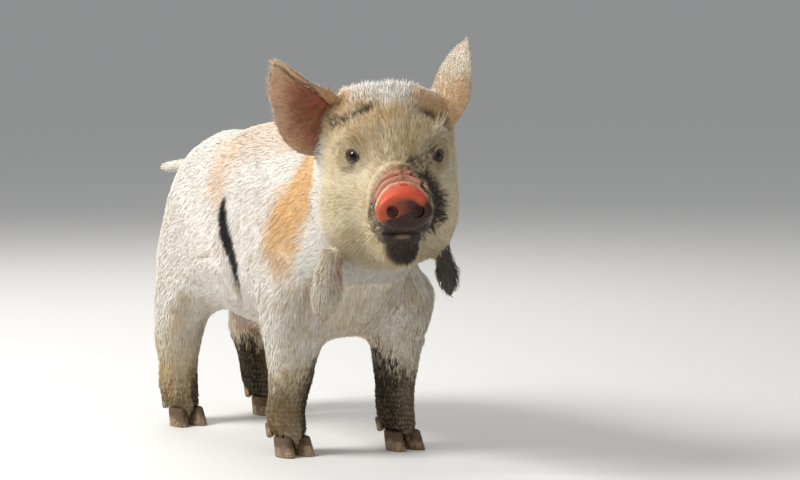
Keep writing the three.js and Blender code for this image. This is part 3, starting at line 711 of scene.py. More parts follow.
def make_skin():
    """The skin's points and triangles."""
    points, faces = melted()
    nodes = nearest_node(points)
    links = Links(len(points), faces)
    rounds = smoothing_rounds(points, nodes, links)
    for turn in range(int(rounds.max())):
        points = links.relax(points, 1, 0.85 * np.clip(rounds - turn, 0, 1))
    swollen = by_node({kind: SWELL.get(kind, TAKEN_BACK * THIN_SWELL) for kind in KIND}, nodes)
    depth = links.relax(by_node(DEPTH, nodes) + swollen, 6)
    points = points - normals_of(points, faces) * depth[:, None]

    # The muzzle and the rings round the eyes get smaller faces.
    across, over, out = disc_frame(points)
    points, faces = refined(points, faces, (out > -26) & (np.hypot(across, over) < 34))
    for reach in (7.5, 5.0):
        close = [np.linalg.norm(points - EYES[name], axis=1) < EYE_RADIUS + reach for name, _ in SIDES]
        points, faces = refined(points, faces, np.any(close, axis=0))
    points = Links(len(points), faces).relax(domed(points), 2, 0.5)
    return sculpted(points, faces), faces


def thinned(points, faces, keep):
    """Fewer triangles away from the places to keep."""
    piece = object_from("draft", points, faces)
    group = piece.vertex_groups.new(name="thin")
    group.add(np.flatnonzero(~keep).tolist(), 1.0, "REPLACE")
    thin = piece.modifiers.new("thin", "DECIMATE")
    thin.vertex_group = group.name
    thin.ratio = SKIN_FACES / len(faces)
    result = arrays_of(piece)
    bpy.data.objects.remove(piece)
    return result


# ---- Ears -----------------------------------------------------------------------------------------

EAR_FACING = {"ear_right": (-0.12, -0.98, -0.1), "ear_left": (0.88, 0.45, -0.15)}


class Ear:
    """Where one ear's root and tip are, and which way its hollow side faces."""

    def __init__(self, node):
        points, _ = solid_of(node)
        away = np.linalg.norm(points - middle("head"), axis=1)
        self.tip = points[np.argmax(points[:, 2])]
        self.root = points[away < np.quantile(away, 0.12)].mean(axis=0)
        self.along = unit(self.tip - self.root)
        self.facing = unit(np.array(EAR_FACING[node]) @ FACE_AXES)

    def hollow(self, normals):
        return smoothstep(0.05, 0.5, normals @ self.facing)

    def share(self, points):
        """0 at the root and 1 at the tip."""
        return (points - self.root) @ self.along / np.linalg.norm(self.tip - self.root)


EARS = {node: Ear(node) for node in EAR_FACING}
EAR_HEART = from_face([-56, 32, 40])  # the deepest and reddest place of the right ear's hollow


# ---- Markings -------------------------------------------------------------------------------------

def patch(points, path, radii, soft, ragged=0.0, size=12.0, seed=0):
    """1 within a tube along a path and 0 outside it, over a soft ragged edge."""
    edge = beyond(points, path, radii)
    if ragged:
        edge = edge + ragged * noise(points, size, seed)
        edge = edge + 0.5 * ragged * noise(points, size / 2.7, seed + 1)
    return 1 - smoothstep(-soft, soft, edge)


# Paths on the left half of the body, which the right half repeats.
COLLAR = [(0, -88, 268), (30, -92, 262), (47, -92, 240), (53, -91, 225), (56, -87, 214), (57, -80, 205),
          (59, -76, 195), (60, -72, 185), (61, -69, 174), (61, -66, 162), (61, -66, 152)]
COLLAR_RADII = [17, 17, 18, 21, 22, 21, 20, 18.5, 17, 14, 9]
COLLAR_FRONT = [(52, -99, 222), (52, -96, 212), (53, -91, 200), (54.5, -85, 187), (56, -81, 175),
                (58, -76, 160)]
SADDLE = [(24, -30, 254), (27, 20, 258), (28, 62, 256)]
WASH = [(36, 34, 250), (50, 44, 236), (58, 42, 222), (65, 32, 208), (67, 24, 199)]
THIGH_CREASE = [(56.3, 77.6, 147), (58.5, 62, 151.8), (58.2, 44, 154.5), (56.8, 28.7, 153.5)]
BREAST_GRIME = [(43, -86, 151), (38, -90, 141), (46, -80, 133)]
SHOULDER_DUST = [(58, -78, 150), (52, -86, 147)]
# Paths on one side alone.
FLANK_SPOT = [(-57.8, 21, 203), (-58.8, 20.5, 191), (-59.6, 18, 180), (-59, 13.7, 170.6), (-58, 9.8, 161),
              (-55.5, 8.5, 152), (-52, 11, 142), (-45.5, 17, 129), (-41.5, 21, 121)]
SPOT_RADII = [5, 8.4, 9.6, 10.6, 10, 8, 5, 2.4, 1.2]
# The painted shadow of a crease along the rear edge of the flank spot.
SPOT_CREASE_SHADOW = [(-59.6, 29.5, 190), (-60, 28, 180), (-59, 26, 170), (-57.6, 21.5, 160),
             (-54.8, 18, 150), (-51, 16, 140), (-45, 18.5, 128), (-40, 23, 118)]
LOIN_SMUDGE = [(-27, 61, 251), (-23, 54, 255), (-22, 44, 257)]
RIGHT_THIGH_SPOT = [(-48, 124, 92), (-44, 126, 86)]
LEFT_HOCK = [(36, 172, 80), (39, 160, 76)]
# In the face's frame. Dark streaks of the brow, with their radii and softness.
BROW_MUD = [
    ([(-46, 26, 17), (-42, 21, 21), (-36, 16, 24.5), (-31, 12.5, 27)], (2.2, 1.0), 1.2),
    ([(-30, 13, 27.5), (-25, 10.5, 30), (-18.5, 9, 34), (-14, 10, 36.5)], (2.6, 3.0), 2.4),
    ([(-37, 17, 26.5), (-34.5, 17, 29)], (1.2, 0.8), 1.0),
    ([(-46, 29, 22), (-44, 27, 26)], (2.6, 1.6), 2.0),
]
FRECKLED_BROW = BROW_MUD[1][0]
BROW_SMEAR = [(-44, 25, 22), (-36.5, 17.5, 25.5), (-29, 10.5, 28), (-22, 11.5, 33.5), (-14, 11.7, 37.5)]
# Painted shade in front of the left ear; mud and painted shade beside the bridge, towards the left eye and
# over it.
LEFT_EAR_SHADE = [(25, 10, 30), (31, 11, 27), (37, 13.5, 22.5), (43, 21.5, 19)]
BESIDE_BRIDGE = [(10, -21, -4), (17, -20, -9), (23, -15, -14), (30, -9, -24), (36, -4, -31)]
TOWARDS_LEFT_EYE = [(20, -16, -6), (26, -10, -1), (32, -6, 1)]
BRIDGE = [(-9, -20, -4), (0, -25, -5), (-6, -27, -14)]
FOREHEAD = [(-6, 2, 30), (-3, -10, 12), (0, -24, -4)]
CHIN = [(-5, -43, -69), (4, -43, -74), (11, -39, -71)]
LEFT_CHEEK_MUD = [(16, -30, -14), (23, -21, -21), (29, -11, -30), (33, -5, -39), (32, -5, -48), (28, -8, -56),
                  (22, -14, -62)]
RIGHT_LIP_MUD = [(-20, -17, -60), (-17, -27, -63), (-13, -36, -66), (-11, -39, -70)]
RIGHT_TASSEL_SHADE = [(-39, 27, -84), (-36, 22, -95), (-37, 18, -106)]
# Ginger at the roots of the ears: middle and reach.
EAR_ROOTS = (((-38, 34, 38), 15), ((27, 25, 40), 17), ((35, 29, 36), 21), ((45, 40, 29), 19))
# The long pale hairs over the left eye.
EYEBROW = [(33, -3, 20), (38, 4, 20), (42, 10, 18)]
# How high the mud reaches on the outer side of each leg, and how much higher on the inner.
TIDES = {"foreleg_right": (62, 16), "foreleg_left": (68, 10), "hindleg_right": (34, 16),
         "hindleg_left": (58, 10)}


# The mud mark holds painted shade as well as mud: round the eyes, in creases and hollows, and under the jaw
# and the snout.
class Marks(dict):
    """The strength of each marking at each place, from 0 to 1."""

    def at_least(self, mark, strength):
        self[mark] = np.maximum(self[mark], strength)


def ginger_hair(at, marks):
    """The collar behind the cheeks, the saddle, the wash down the flank, the ears' roots."""
    off_face = smoothstep(43, 55, at.face[:, 1] + 3 * at.stray)
    collar = patch(at.both, COLLAR, COLLAR_RADII, 9, 5, 14, 1) * np.where(at.head, off_face, 1)
    rear = smoothstep(-6, 9, at.y - np.interp(-at.z, [-240, -205, -160], [-88, -78, -64]))
    streaks = smoothstep(0.0, 0.5, at.rough + 0.5 * at.fine + 0.5 * at.stray)
    pale = 0.28 * streaks * (1 - rear)
    marks["ginger"] = collar * (0.95 - pale - 0.25 * smoothstep(185, 150, at.z))
    front = patch(at.both, COLLAR_FRONT, [5, 6, 7, 7, 6, 5], 6, 5, 12, 14)
    marks.at_least("ginger", front * (0.6 - pale) * off_face)
    marks.at_least("ginger", 0.34 * patch(at.both, SADDLE, [22, 32, 30], 16, 8, 26, 3))
    marks.at_least("ginger", 0.46 * patch(at.both, WASH, [15, 19, 17, 12, 6], 12, 6, 20, 4))
    for spot, reach in EAR_ROOTS:
        away = np.linalg.norm(at.face - spot, axis=1) + 2.5 * at.rough + 3 * at.stray
        marks.at_least("ginger", 0.7 * (1 - smoothstep(0.35 * reach, reach, away)))
    tipward = EARS["ear_left"].share(at.points) + 0.1 * at.stray
    marks.at_least("ginger", 0.42 * (at.name == "ear_left") * smoothstep(0.6, 0.3, tipward))
    marks.at_least("ginger", 0.3 * patch(at.points, RIGHT_THIGH_SPOT, [6, 5], 6))
    marks.at_least("ginger", 0.15 * at.head * patch(at.face, FOREHEAD, [18, 19, 17], 11, 4, 10, 15))


def black_hair(at, marks):
    """The spot on the right flank, ragged ahead and sharp behind, with a painted crease shadow along its rear
    edge, and a smudge on the loins.
    """
    edge = beyond(at.points, FLANK_SPOT, SPOT_RADII) + (1.3 + 1.2 * at.stray) * noise(at.points, 5, 8)
    ahead = smoothstep(4, -6, at.y - np.interp(-at.z, [-200, -150, -120], [20, 9, 21]))
    edge = edge + 1.6 * at.stray * ahead
    marks["black"] = 1 - smoothstep(-2.4, 2.0, edge + 1.2 * at.stray)
    # Painted shadow of a crease: a thin dark line along the spot's rear edge.
    sharp = 1 - smoothstep(0.3, 1.6, beyond(at.points, SPOT_CREASE_SHADOW))
    marks.at_least("black", 0.85 * sharp * smoothstep(112, 124, at.z))
    smudge = patch(at.points, LOIN_SMUDGE, [2, 4, 2], 3.5, 2.5, 6, 9)
    marks.at_least("black", 0.5 * smudge * smoothstep(-0.6, 0.4, at.rough + at.stray))


def brow_mud_and_shade(at, marks):
    """Dark streaks and freckles on the brow, painted shade in front of the left ear, and mud with painted
    shade over the bridge and down its left side.
    """
    for path, radii, soft in BROW_MUD:
        streak = patch(at.face, path, radii, soft, 1.4, 3.5, 10)
        marks.at_least("black", 0.95 * streak * at.strands(-0.75, 0.05, 0.7))
    smear = patch(at.face, BROW_SMEAR, (5, 7, 7, 7, 6), 4.5, 3, 5, 12)
    marks["mud"] = 0.8 * smear * at.strands(-0.9, 0.3)
    # Painted shade in front of the left ear, laid into the mud mark.
    shaded = patch(at.face, LEFT_EAR_SHADE, (4, 6, 6.5, 6), 5, 2.5, 6, 13)
    marks.at_least("mud", 0.85 * shaded * smoothstep(-1.0, 0.4, at.rough + 0.6 * at.stray))
    # Mud and painted shade beside the bridge, towards the left eye and over the bridge.
    strands = at.head * at.strands(-0.8, 0.5)
    marks.at_least("mud", 0.84 * strands * patch(at.face, BESIDE_BRIDGE, (5, 7, 7, 7, 5), 6, 4, 7, 17))
    marks.at_least("mud", 0.8 * strands * patch(at.face, TOWARDS_LEFT_EYE, (8, 9, 7), 5, 3, 7, 18))
    marks.at_least("mud", 0.42 * strands * patch(at.face, BRIDGE, (13, 14, 12), 8, 4, 9, 19))
    specks = smoothstep(0.62, 0.72, noise(at.points, 1.3, 16) + 0.12 * at.stray)
    from_disc = np.linalg.norm(at.face - DISC, axis=1)
    freckled = at.head * smoothstep(60, 30, from_disc)
    freckled = np.clip(freckled + 0.8 * patch(at.face, FRECKLED_BROW, (9, 9), 6), 0, 1)
    marks.at_least("black", 0.85 * specks * freckled * np.where(at.out > -8, 0.4, 1))


def jaw_mud(at, marks):
    """Wet mud round the chin, up the left cheek and along the right lip."""
    chin = beyond(at.face, CHIN, (9, 12, 9)) + 3.5 * at.stray + 2.5 * at.rough
    marks.at_least("mud", 0.97 * (1 - smoothstep(-1.5, 1.5, chin)))
    cheek = beyond(at.face, LEFT_CHEEK_MUD, (2, 4, 5, 5.5, 5.5, 4, 2)) + 5 * at.stray + 2.5 * at.rough
    marks.at_least("mud", 0.98 * (1 - smoothstep(-2, 8, cheek)))
    marks.at_least("black", 0.75 * (1 - smoothstep(-4, 3, cheek)) * at.strands(-0.5, 0.4, 1))
    clump = beyond(at.face, RIGHT_LIP_MUD, (1.5, 2.5, 4)) + 3 * at.stray + 2 * at.rough
    marks.at_least("mud", 0.85 * (1 - smoothstep(-1.5, 3.5, clump)))


def snout_mud_and_shade(at, marks):
    """Mud behind the snout's disc, heavier on its left side; painted shade with mud in the grooves between
    the rolls, under the disc and on the disc's lower part.
    """
    behind = smoothstep(-4.5, -7.5, at.out) * smoothstep(-36, -20, at.out) * (at.rim < 2.2)
    left_side = smoothstep(-12, 10, at.across)
    marks.at_least("mud", at.head * behind * (0.34 + 0.6 * left_side)
                   * smoothstep(-0.9, 0.3, at.rough + at.fine + 0.6 * at.stray))
    flanks = behind * smoothstep(15, 9, at.over + at.rough) * at.snout * (at.rim < 1.6)
    marks.at_least("mud", 0.84 * flanks * at.strands(-1.2, 0.2))
    # Painted shade, with some mud, in the grooves between the rolls.
    grooves = sum(hill(at.out + 1.2 * at.waver - start, 1.0) for start, _, rise in ROLLS if rise < 0)
    over_rolls = smoothstep(0.1, 0.6, at.over / 18) * behind
    marks.at_least("mud", 0.75 * over_rolls * grooves * at.snout)
    # The disc is clean along its upper rim, and darkened below by mud and painted shade.
    mud_and_shade = np.clip(0.02 + 0.34 * smoothstep(13, 3, at.over) + 0.2 * at.rough, 0, 0.5)
    for strength in (
        0.97 * smoothstep(8, -1.5, at.over - 0.4 * at.across + 2.0 * at.rough),
        (0.74 + 0.2 * smoothstep(-4, 6, at.across)) * (1 - smoothstep(0.5, 0.84, at.rim)),
        0.95 * smoothstep(12, 20, at.across + 2 * at.rough - 0.7 * (at.over - 6)),
    ):
        mud_and_shade = np.maximum(mud_and_shade, strength)
    marks["mud"] = np.where(at.bare_disc & (at.out > 0), mud_and_shade, marks["mud"])
    # Mud and painted shade under the disc.
    under = smoothstep(5.5, 2.5, at.out) * smoothstep(-30, -20, at.out) * smoothstep(-3, -8, at.over)
    under *= (at.rim < 2.3) * smoothstep(-21, -13, at.across + 2.5 * at.stray)
    marks.at_least("mud", 0.97 * under * at.head)
    marks["mud"] = marks["mud"] * (1 - 0.36 * at.lip)


def leg_mud_and_shade(at, marks):
    """Mud on the feet and lower legs, higher up their inner sides, dried in thin rings, and darker on the
    left legs, partly as painted shade.
    """
    wet = np.zeros(len(at.points))
    for node, (height, more) in TIDES.items():
        level = height + more * at.inner + 7 * at.broad + 4 * at.rough + 13 * at.stray
        rings = 0.3 * np.sin(at.z / 0.62 + 2.2 * at.rough)
        wet = np.where(at.name == node, 1 - smoothstep(level - 9, level + 9, at.z) + rings, wet)
    # The left legs, on the shaded side, get darker mud: partly painted shade.
    left_legs_darker = np.isin(at.name, ("foreleg_left", "hindleg_left"))
    marks.at_least("mud", at.leg * np.clip(wet, 0, 1) * (0.74 + 0.1 * left_legs_darker + 0.26 * at.inner))


def other_mud_and_shade(at, marks):
    """Mud on the left tassel and on the breast, and painted shade down the right tassel, in the crease of the
    thigh and under the jaw.
    """
    marks.at_least("mud", 0.9 * (at.name == "tassel_left"))
    # Painted shade down the upper part of the right tassel.
    marks.at_least("mud", 0.6 * patch(at.face, RIGHT_TASSEL_SHADE, (2, 1.5), 2))
    # Painted shade in the crease of the thigh.
    marks.at_least("mud", 0.26 * patch(at.both, THIGH_CREASE, (2, 3, 3, 1), 4, 1, 6, 22))
    grime = patch(at.both, BREAST_GRIME, (9, 10, 8), 9, 4, 9, 20)
    marks.at_least("mud", 0.4 * grime * at.strands(-0.8, 0.4))
    # Painted shade under the jaw, where the skin faces down.
    under_jaw = smoothstep(-0.1, -0.8, at.normals[:, 2]) * smoothstep(-50, -66, at.face[:, 2])
    marks.at_least("mud", 0.34 * at.head * under_jaw)


def dust_shade_and_white(at, marks):
    """How dusty the pale hair is, with painted shade on the throat and the breast, and how white rather than
    cream.
    """
    up_face = at.face[:, 2]
    trunk = at.kind == "trunk"
    dust_and_shade = 0.22 + 0.3 * smoothstep(140, 60, at.z) * trunk
    dust_and_shade = np.where(at.head, 0.52 + 0.3 * smoothstep(-22, 20, up_face), dust_and_shade)
    dust_and_shade = np.where(at.head, dust_and_shade * (1 - 0.7 * smoothstep(34, 44, up_face + 3 * at.rough)), dust_and_shade)
    dust_and_shade = np.where(at.leg, 0.34 + 0.6 * smoothstep(88, 34, at.z + 9 * at.rough + 9 * at.stray), dust_and_shade)
    dust_and_shade = np.where(at.leg, np.maximum(dust_and_shade, 0.55 * at.inner), dust_and_shade)
    dust_and_shade = np.where(at.kind == "ear", 0.5, dust_and_shade)
    dust_and_shade = np.where(at.name == "tassel_right", 0.62, dust_and_shade)
    # Dust and painted shade on the throat, and on the breast where it faces ahead.
    throat = (at.kind == "neck") * smoothstep(-40, -75, at.y) * smoothstep(190, 150, at.z)
    breast = smoothstep(0.0, -0.7, at.normals[:, 1]) * smoothstep(190, 120, at.z) * ~at.head
    shoulder = patch(at.both, SHOULDER_DUST, (6, 6), 7) * ~at.head
    for strength in (0.6 * throat, 0.62 * breast, 0.75 * shoulder):
        dust_and_shade = np.maximum(dust_and_shade, strength)
    dust_and_shade = np.clip(dust_and_shade + 0.16 * at.rough + 0.22 * at.stray, 0, 1)
    cheek = smoothstep(20, 44, at.face[:, 1]) * smoothstep(20, 2, up_face)
    dust_and_shade = np.where(at.head, dust_and_shade * (1 - 0.6 * cheek), dust_and_shade)
    marks["dust_and_shade"] = dust_and_shade * (1 - 0.85 * at.head * (beyond(at.face, EYEBROW) < 5))

    white = np.where(trunk, 0.95, 0.72)
    crown = smoothstep(30, 42, up_face + 4 * at.rough)
    white = np.where(at.head, 0.22 + 0.7 * np.maximum(crown, cheek), white)
    white = np.where(at.leg, 0.25 + 0.7 * smoothstep(30, 110, at.z), white)
    marks["white"] = np.where(at.kind == "ear", 0.55, white)


def bare_skin(at, marks):
    """Pink skin on the disc, the rolls, the lower lip, the right tassel, the left hock and the
    trunk."""
    marks["pink"] = np.where(at.bare_disc, 1.0, 0.0)
    over_rolls = smoothstep(0.3, 0.75, at.over / 18) * smoothstep(-26, -18, at.out)
    marks.at_least("pink", 0.45 * over_rolls * at.snout)
    marks.at_least("pink", 0.45 * at.lip)
    tassel = (at.name == "tassel_right") * smoothstep(0.0, 0.7, at.normals @ LATERAL)
    marks.at_least("pink", 0.95 * tassel * smoothstep(-116, -96, at.face[:, 2]))
    marks.at_least("pink", 0.55 * patch(at.points, LEFT_HOCK, [9, 8], 7))
    marks.at_least("pink", 0.12 * (at.kind == "trunk"))


def right_ear(at, marks):
    """The red hollow, painted shade in its crease and at its root, and darker towards its heart."""
    ear = at.name == "ear_right"
    hollow = EARS["ear_right"].hollow(at.normals)
    from_heart = np.linalg.norm((at.points - EAR_HEART) * [1, 1, 0.62], axis=1)
    ragged = from_heart + 4 * at.rough
    over = at.over_crease
    red = 0.2 + 0.8 * smoothstep(31, 7, ragged)
    pink = np.where(over > 0, 0.12, 0.18 + hollow * (red - 0.18))
    marks["pink"] = np.where(ear, pink, marks["pink"])
    hollow = hollow * ear
    marks.at_least("ginger", (0.3 + 0.5 * smoothstep(40, 16, from_heart)) * hollow)
    marks.at_least("black", 0.3 * smoothstep(34, 10, ragged) * hollow)
    marks.at_least("mud", (0.14 + 0.46 * smoothstep(36, 12, ragged)) * hollow * (over < 0))
    # Painted shade in the crease under the folded upper rim.
    crease = hill(over + 0.5, 1.9) * smoothstep(-88, -83, at.face[:, 0])
    marks.at_least("mud", 0.8 * hollow * crease)
    # Painted shade deep in the hollow at the ear's root.
    root = smoothstep(-58, -44, at.face[:, 0]) * smoothstep(6, -6, over)
    marks.at_least("mud", 0.62 * hollow * root * smoothstep(20, 34, at.face[:, 2]))


def left_ear(at, marks):
    """A dusty root and a clean tip, with a pink hollow."""
    ear = at.name == "ear_left"
    tipward = EARS["ear_left"].share(at.points)
    hollow = EARS["ear_left"].hollow(at.normals)
    pink = 0.06 + 0.1 * smoothstep(0.5, 1, tipward) + 0.45 * hollow
    marks["pink"] = np.where(ear, pink, marks["pink"])
    marks["dust_and_shade"] = np.where(ear, 0.75 - 0.6 * smoothstep(0.45, 0.8, tipward), marks["dust_and_shade"])


def eye_rims(at, marks):
    """Black bare edges of the lids, brown lids, and a ring of painted shade round them."""
    for edge in past_lids(at.points):
        lid = 1 - smoothstep(0.7, 2.0, edge)
        marks["pink"] = marks["pink"] * (1 - lid) + 0.2 * lid
        marks.at_least("dust_and_shade", 0.8 * lid)
        marks["mud"] = marks["mud"] * (1 - lid) + 0.74 * lid
        # Painted shade round the eye, laid into the mud mark.
        marks.at_least("mud", 0.42 * (1 - smoothstep(3, 9, edge)))
        marks.at_least("black", 0.95 * (1 - smoothstep(0.6, 1.9, edge)))


def nostril_holes(at, marks):
    # Painted shade: the nostrils are painted black inside.
    hole = at.bare_disc & (at.out > -9) & (np.minimum(*at.nostrils()) < 0.98)
    marks["mud"] = np.where(hole, 0, marks["mud"])
    marks["black"] = np.where(hole, 0.93, marks["black"])


def markings(at):
    """The strength of each marking at each place, from 0 to 1."""
    marks = Marks()
    for made in (ginger_hair, black_hair, brow_mud_and_shade, jaw_mud, snout_mud_and_shade, leg_mud_and_shade, other_mud_and_shade,
                 dust_shade_and_white, bare_skin, right_ear, left_ear, eye_rims, nostril_holes):
        made(at, marks)
    return {mark: np.clip(strength, 0, 1) for mark, strength in marks.items()}


# ---- The lie, length and thickness of the coat ------------------------------------------------------

TAIL_ALONG = np.array([-0.15, 1.0, -0.05])


def combed(at):
    """The way that the hair would lie at each place if the skin were not there."""
    side = np.clip(np.abs(at.x - MIDLINE) / 60, 0, 1)
    rump = smoothstep(120, 185, at.y)
    flow = np.stack([0 * at.x, 1 - 0.75 * rump, -0.15 - 0.5 * side - 1.0 * rump], 1)
    breast = smoothstep(-0.2, -0.8, at.normals[:, 1])
    flow += breast[:, None] * [0, -0.7, -1.0]
    low = smoothstep(150, 100, at.z)[at.leg, None]
    flow[at.leg] = flow[at.leg] * (1 - low) + low * [0, 0.12, -1.0]
    outward = unit(at.face - (DISC + [0, 14, 6]))
    outward[:, 1] += 0.45
    outward[:, 2] += np.where(at.face[:, 2] < -30, -0.25, 0.1)
    flow[at.head] = (outward @ FACE_AXES)[at.head]
    for ear, shape in EARS.items():
        here = at.name == ear
        rel = at.points[here] - shape.root
        off_axis = rel - (rel @ shape.along)[:, None] * shape.along
        flow[here] = shape.along + 0.035 * off_axis
    ear = EARS["ear_right"]
    inside = (at.name == "ear_right") & (ear.hollow(at.normals) > 0.5)
    flow[inside] = unit(at.points[inside] - EAR_HEART) + 0.3 * ear.along
    flow[at.kind == "tassel"] = -UP
    flow[at.kind == "tail"] = TAIL_ALONG
    return flow


def lie_of_coat(at, links):
    """The way the hair lies at each place of the skin, along the skin."""
    def laid(v):
        return unit(v - np.sum(v * at.normals, axis=1)[:, None] * at.normals)

    flow = laid(combed(at))
    for _ in range(30):
        flow = laid(links.relax(flow, 1, 0.6))
    turn = 0.2 * noise(at.points, 34, 21) + 0.1 * noise(at.points, 13, 22)
    across = np.cross(at.normals, flow)
    return unit(flow * np.cos(turn)[:, None] + across * np.sin(turn)[:, None])


# Per kind of node: length of a tuft, height of its tip over the skin, width at the root, and
# tufts in a square millimetre.
TUFTS = {
    "trunk": (11.0, 0.7, 0.8, 0.52), "neck": (11.0, 0.85, 0.8, 0.56), "head": (6.6, 0.85, 0.62, 1.4),
    "jaw": (7.0, 1.3, 0.66, 1.1), "snout": (4.4, 0.7, 0.45, 1.3), "ear": (4.6, 0.8, 0.42, 0.95),
    "tassel": (7.6, 2.6, 0.65, 0.95), "tail": (6.0, 1.2, 0.7, 0.8), "foreleg": (8.6, 0.85, 0.78, 0.68),
    "hindleg": (9.6, 0.85, 0.78, 0.62),
}
COAT_TRIANGLES = 1430000
# Where the coat stands up: paths in the face's frame, reach, and more length and lift there.
RUFFS = (
    ([(-40, 26, 44), (-20, 22, 47), (0, 20, 48), (18, 22, 47)], 15, 4.0, 5.6),
    ([(-52, 36, 2), (-55, 40, -16), (-56, 46, -36), (-57, 56, -56)], 8, 3.0, 2.6),
    ([(54, 36, 2), (56, 40, -16), (56, 46, -36), (57, 56, -56)], 8, 3.0, 2.6),
    ([(-46, 30, 20), (-44, 26, 30)], 7, 1.5, 2.0),
    ([(-30, 0, -74), (0, -30, -78), (30, 0, -74)], 18, 2.5, 1.6),
)
# Long single hairs: paths in the face's frame, reach, the chance of one, and its further share of
# the length and its lift.
BRISTLES = (
    (EYEBROW, 4.5, 0.45, 1.7, 8.0),
    ([(-34, -2, 19), (-39, 6, 17)], 3.5, 0.10, 1.4, 4.5),
    ([(-8, -44, -74), (8, -44, -74)], 9.0, 0.10, 0.9, 3.0),
    ([(-58, 22, -96), (-50, 18, -124)], 12.0, 0.06, 0.7, 2.5),
)


class TuftSizes:
    """Length, lift, width and density of the tufts at each place of the skin."""

    def __init__(self, at, nodes):
        self.length, self.lift, self.width, self.density = (
            by_node({kind: sizes[i] for kind, sizes in TUFTS.items()}, nodes) for i in range(4))
        for fit in (self.fit_head, self.fit_body, self.fit_legs, self.fit_eyes, self.fit_ears,
                    self.fit_bare_skin):
            fit(at)

    def fit_head(self, at):
        """Shorter and finer towards the snout, and standing up in the ruffs."""
        from_disc = np.linalg.norm(at.face - DISC, axis=1)
        self.length *= np.where(at.head, 0.55 + 0.72 * smoothstep(22, 78, from_disc), 1)
        self.lift *= np.where(at.head, 0.5 + 0.8 * smoothstep(25, 80, from_disc), 1)
        self.width *= np.where(at.head, 0.75 + 0.35 * smoothstep(20, 75, from_disc), 1)
        for path, reach, longer, higher in RUFFS:
            near = 1 - smoothstep(0.3 * reach, reach, beyond(at.face, path))
            near = near * ~np.isin(at.kind, ("ear", "tassel"))
            self.length += longer * near
            self.lift += higher * near

    def fit_body(self, at):
        """Longer and looser under the belly and on the breast."""
        trunk = at.kind == "trunk"
        belly = trunk * smoothstep(-0.4, -0.9, at.normals[:, 2])
        breast = trunk * smoothstep(-0.2, -0.8, at.normals[:, 1]) * (at.y < -60)
        self.length += 2.0 * belly + 2.5 * breast
        self.lift += 1.0 * belly + 1.2 * breast

    def fit_legs(self, at):
        """Shaggy behind the upper legs, short and dense towards the feet."""
        shaggy = hill(at.z - 112, 26) * at.leg * smoothstep(0.1, 0.7, at.normals[:, 1])
        self.length += 2.0 * shaggy
        self.lift += 1.3 * shaggy
        short = smoothstep(90, 20, at.z) * at.leg
        self.length *= 1 - 0.42 * short
        self.width *= 1 - 0.1 * short
        self.density *= 1 + 0.5 * short

    def fit_eyes(self, at):
        """None on the edges of the lids, and short round them."""
        for edge in past_lids(at.points):
            near = smoothstep(-0.1, 5.5, edge)
            self.density *= smoothstep(0.02, 0.2, near)
            self.length *= 0.3 + 0.7 * near
            self.lift *= 0.4 + 0.6 * near

    def fit_ears(self, at):
        """Long, fine and sparse in the hollows."""
        for node, shape in EARS.items():
            inside = (at.name == node) * shape.hollow(at.normals)
            self.length += 2.6 * inside
            self.lift += 0.5 * inside
            self.width *= 1 - 0.25 * inside
            self.density *= 1 - 0.62 * inside

    def fit_bare_skin(self, at):
        """None on the snout's disc and behind it, furthest over its top, nor on the lips."""
        disc = at.snout & (at.out > -5.0 - 10.0 * smoothstep(0.4, 0.9, at.upward))
        up_face, back = at.face[:, 2], at.face[:, 1]
        mouth = at.head & (np.abs(up_face - mouth_line(back)) < 1.3) & (back < -10)
        lip = beyond(at.face, LOWER_LIP, (2.6, 2.6)) < 1.5
        self.density[disc | mouth | lip] = 0


def scattered(points, faces, density, count):
    """Evenly scattered places on the mesh: the triangle of each and its share of the corners."""
    area = np.linalg.norm(face_normals(points, faces), axis=1) / 2
    weight = area * density[faces].mean(axis=1)
    total = np.cumsum(weight)
    at = (np.arange(count) + random.random(count)) * total[-1] / count
    which = np.minimum(np.searchsorted(total, at), len(faces) - 1)
    u, v = random.random((2, count))
    fold = u + v > 1
    u, v = np.where(fold, 1 - u, u), np.where(fold, 1 - v, v)
    return which, np.stack([1 - u - v, u, v], 1)


# ---- An unwrap of the skin's own shape: each node's surface is laid flat by the way it faces --------

MARGIN = 0.006


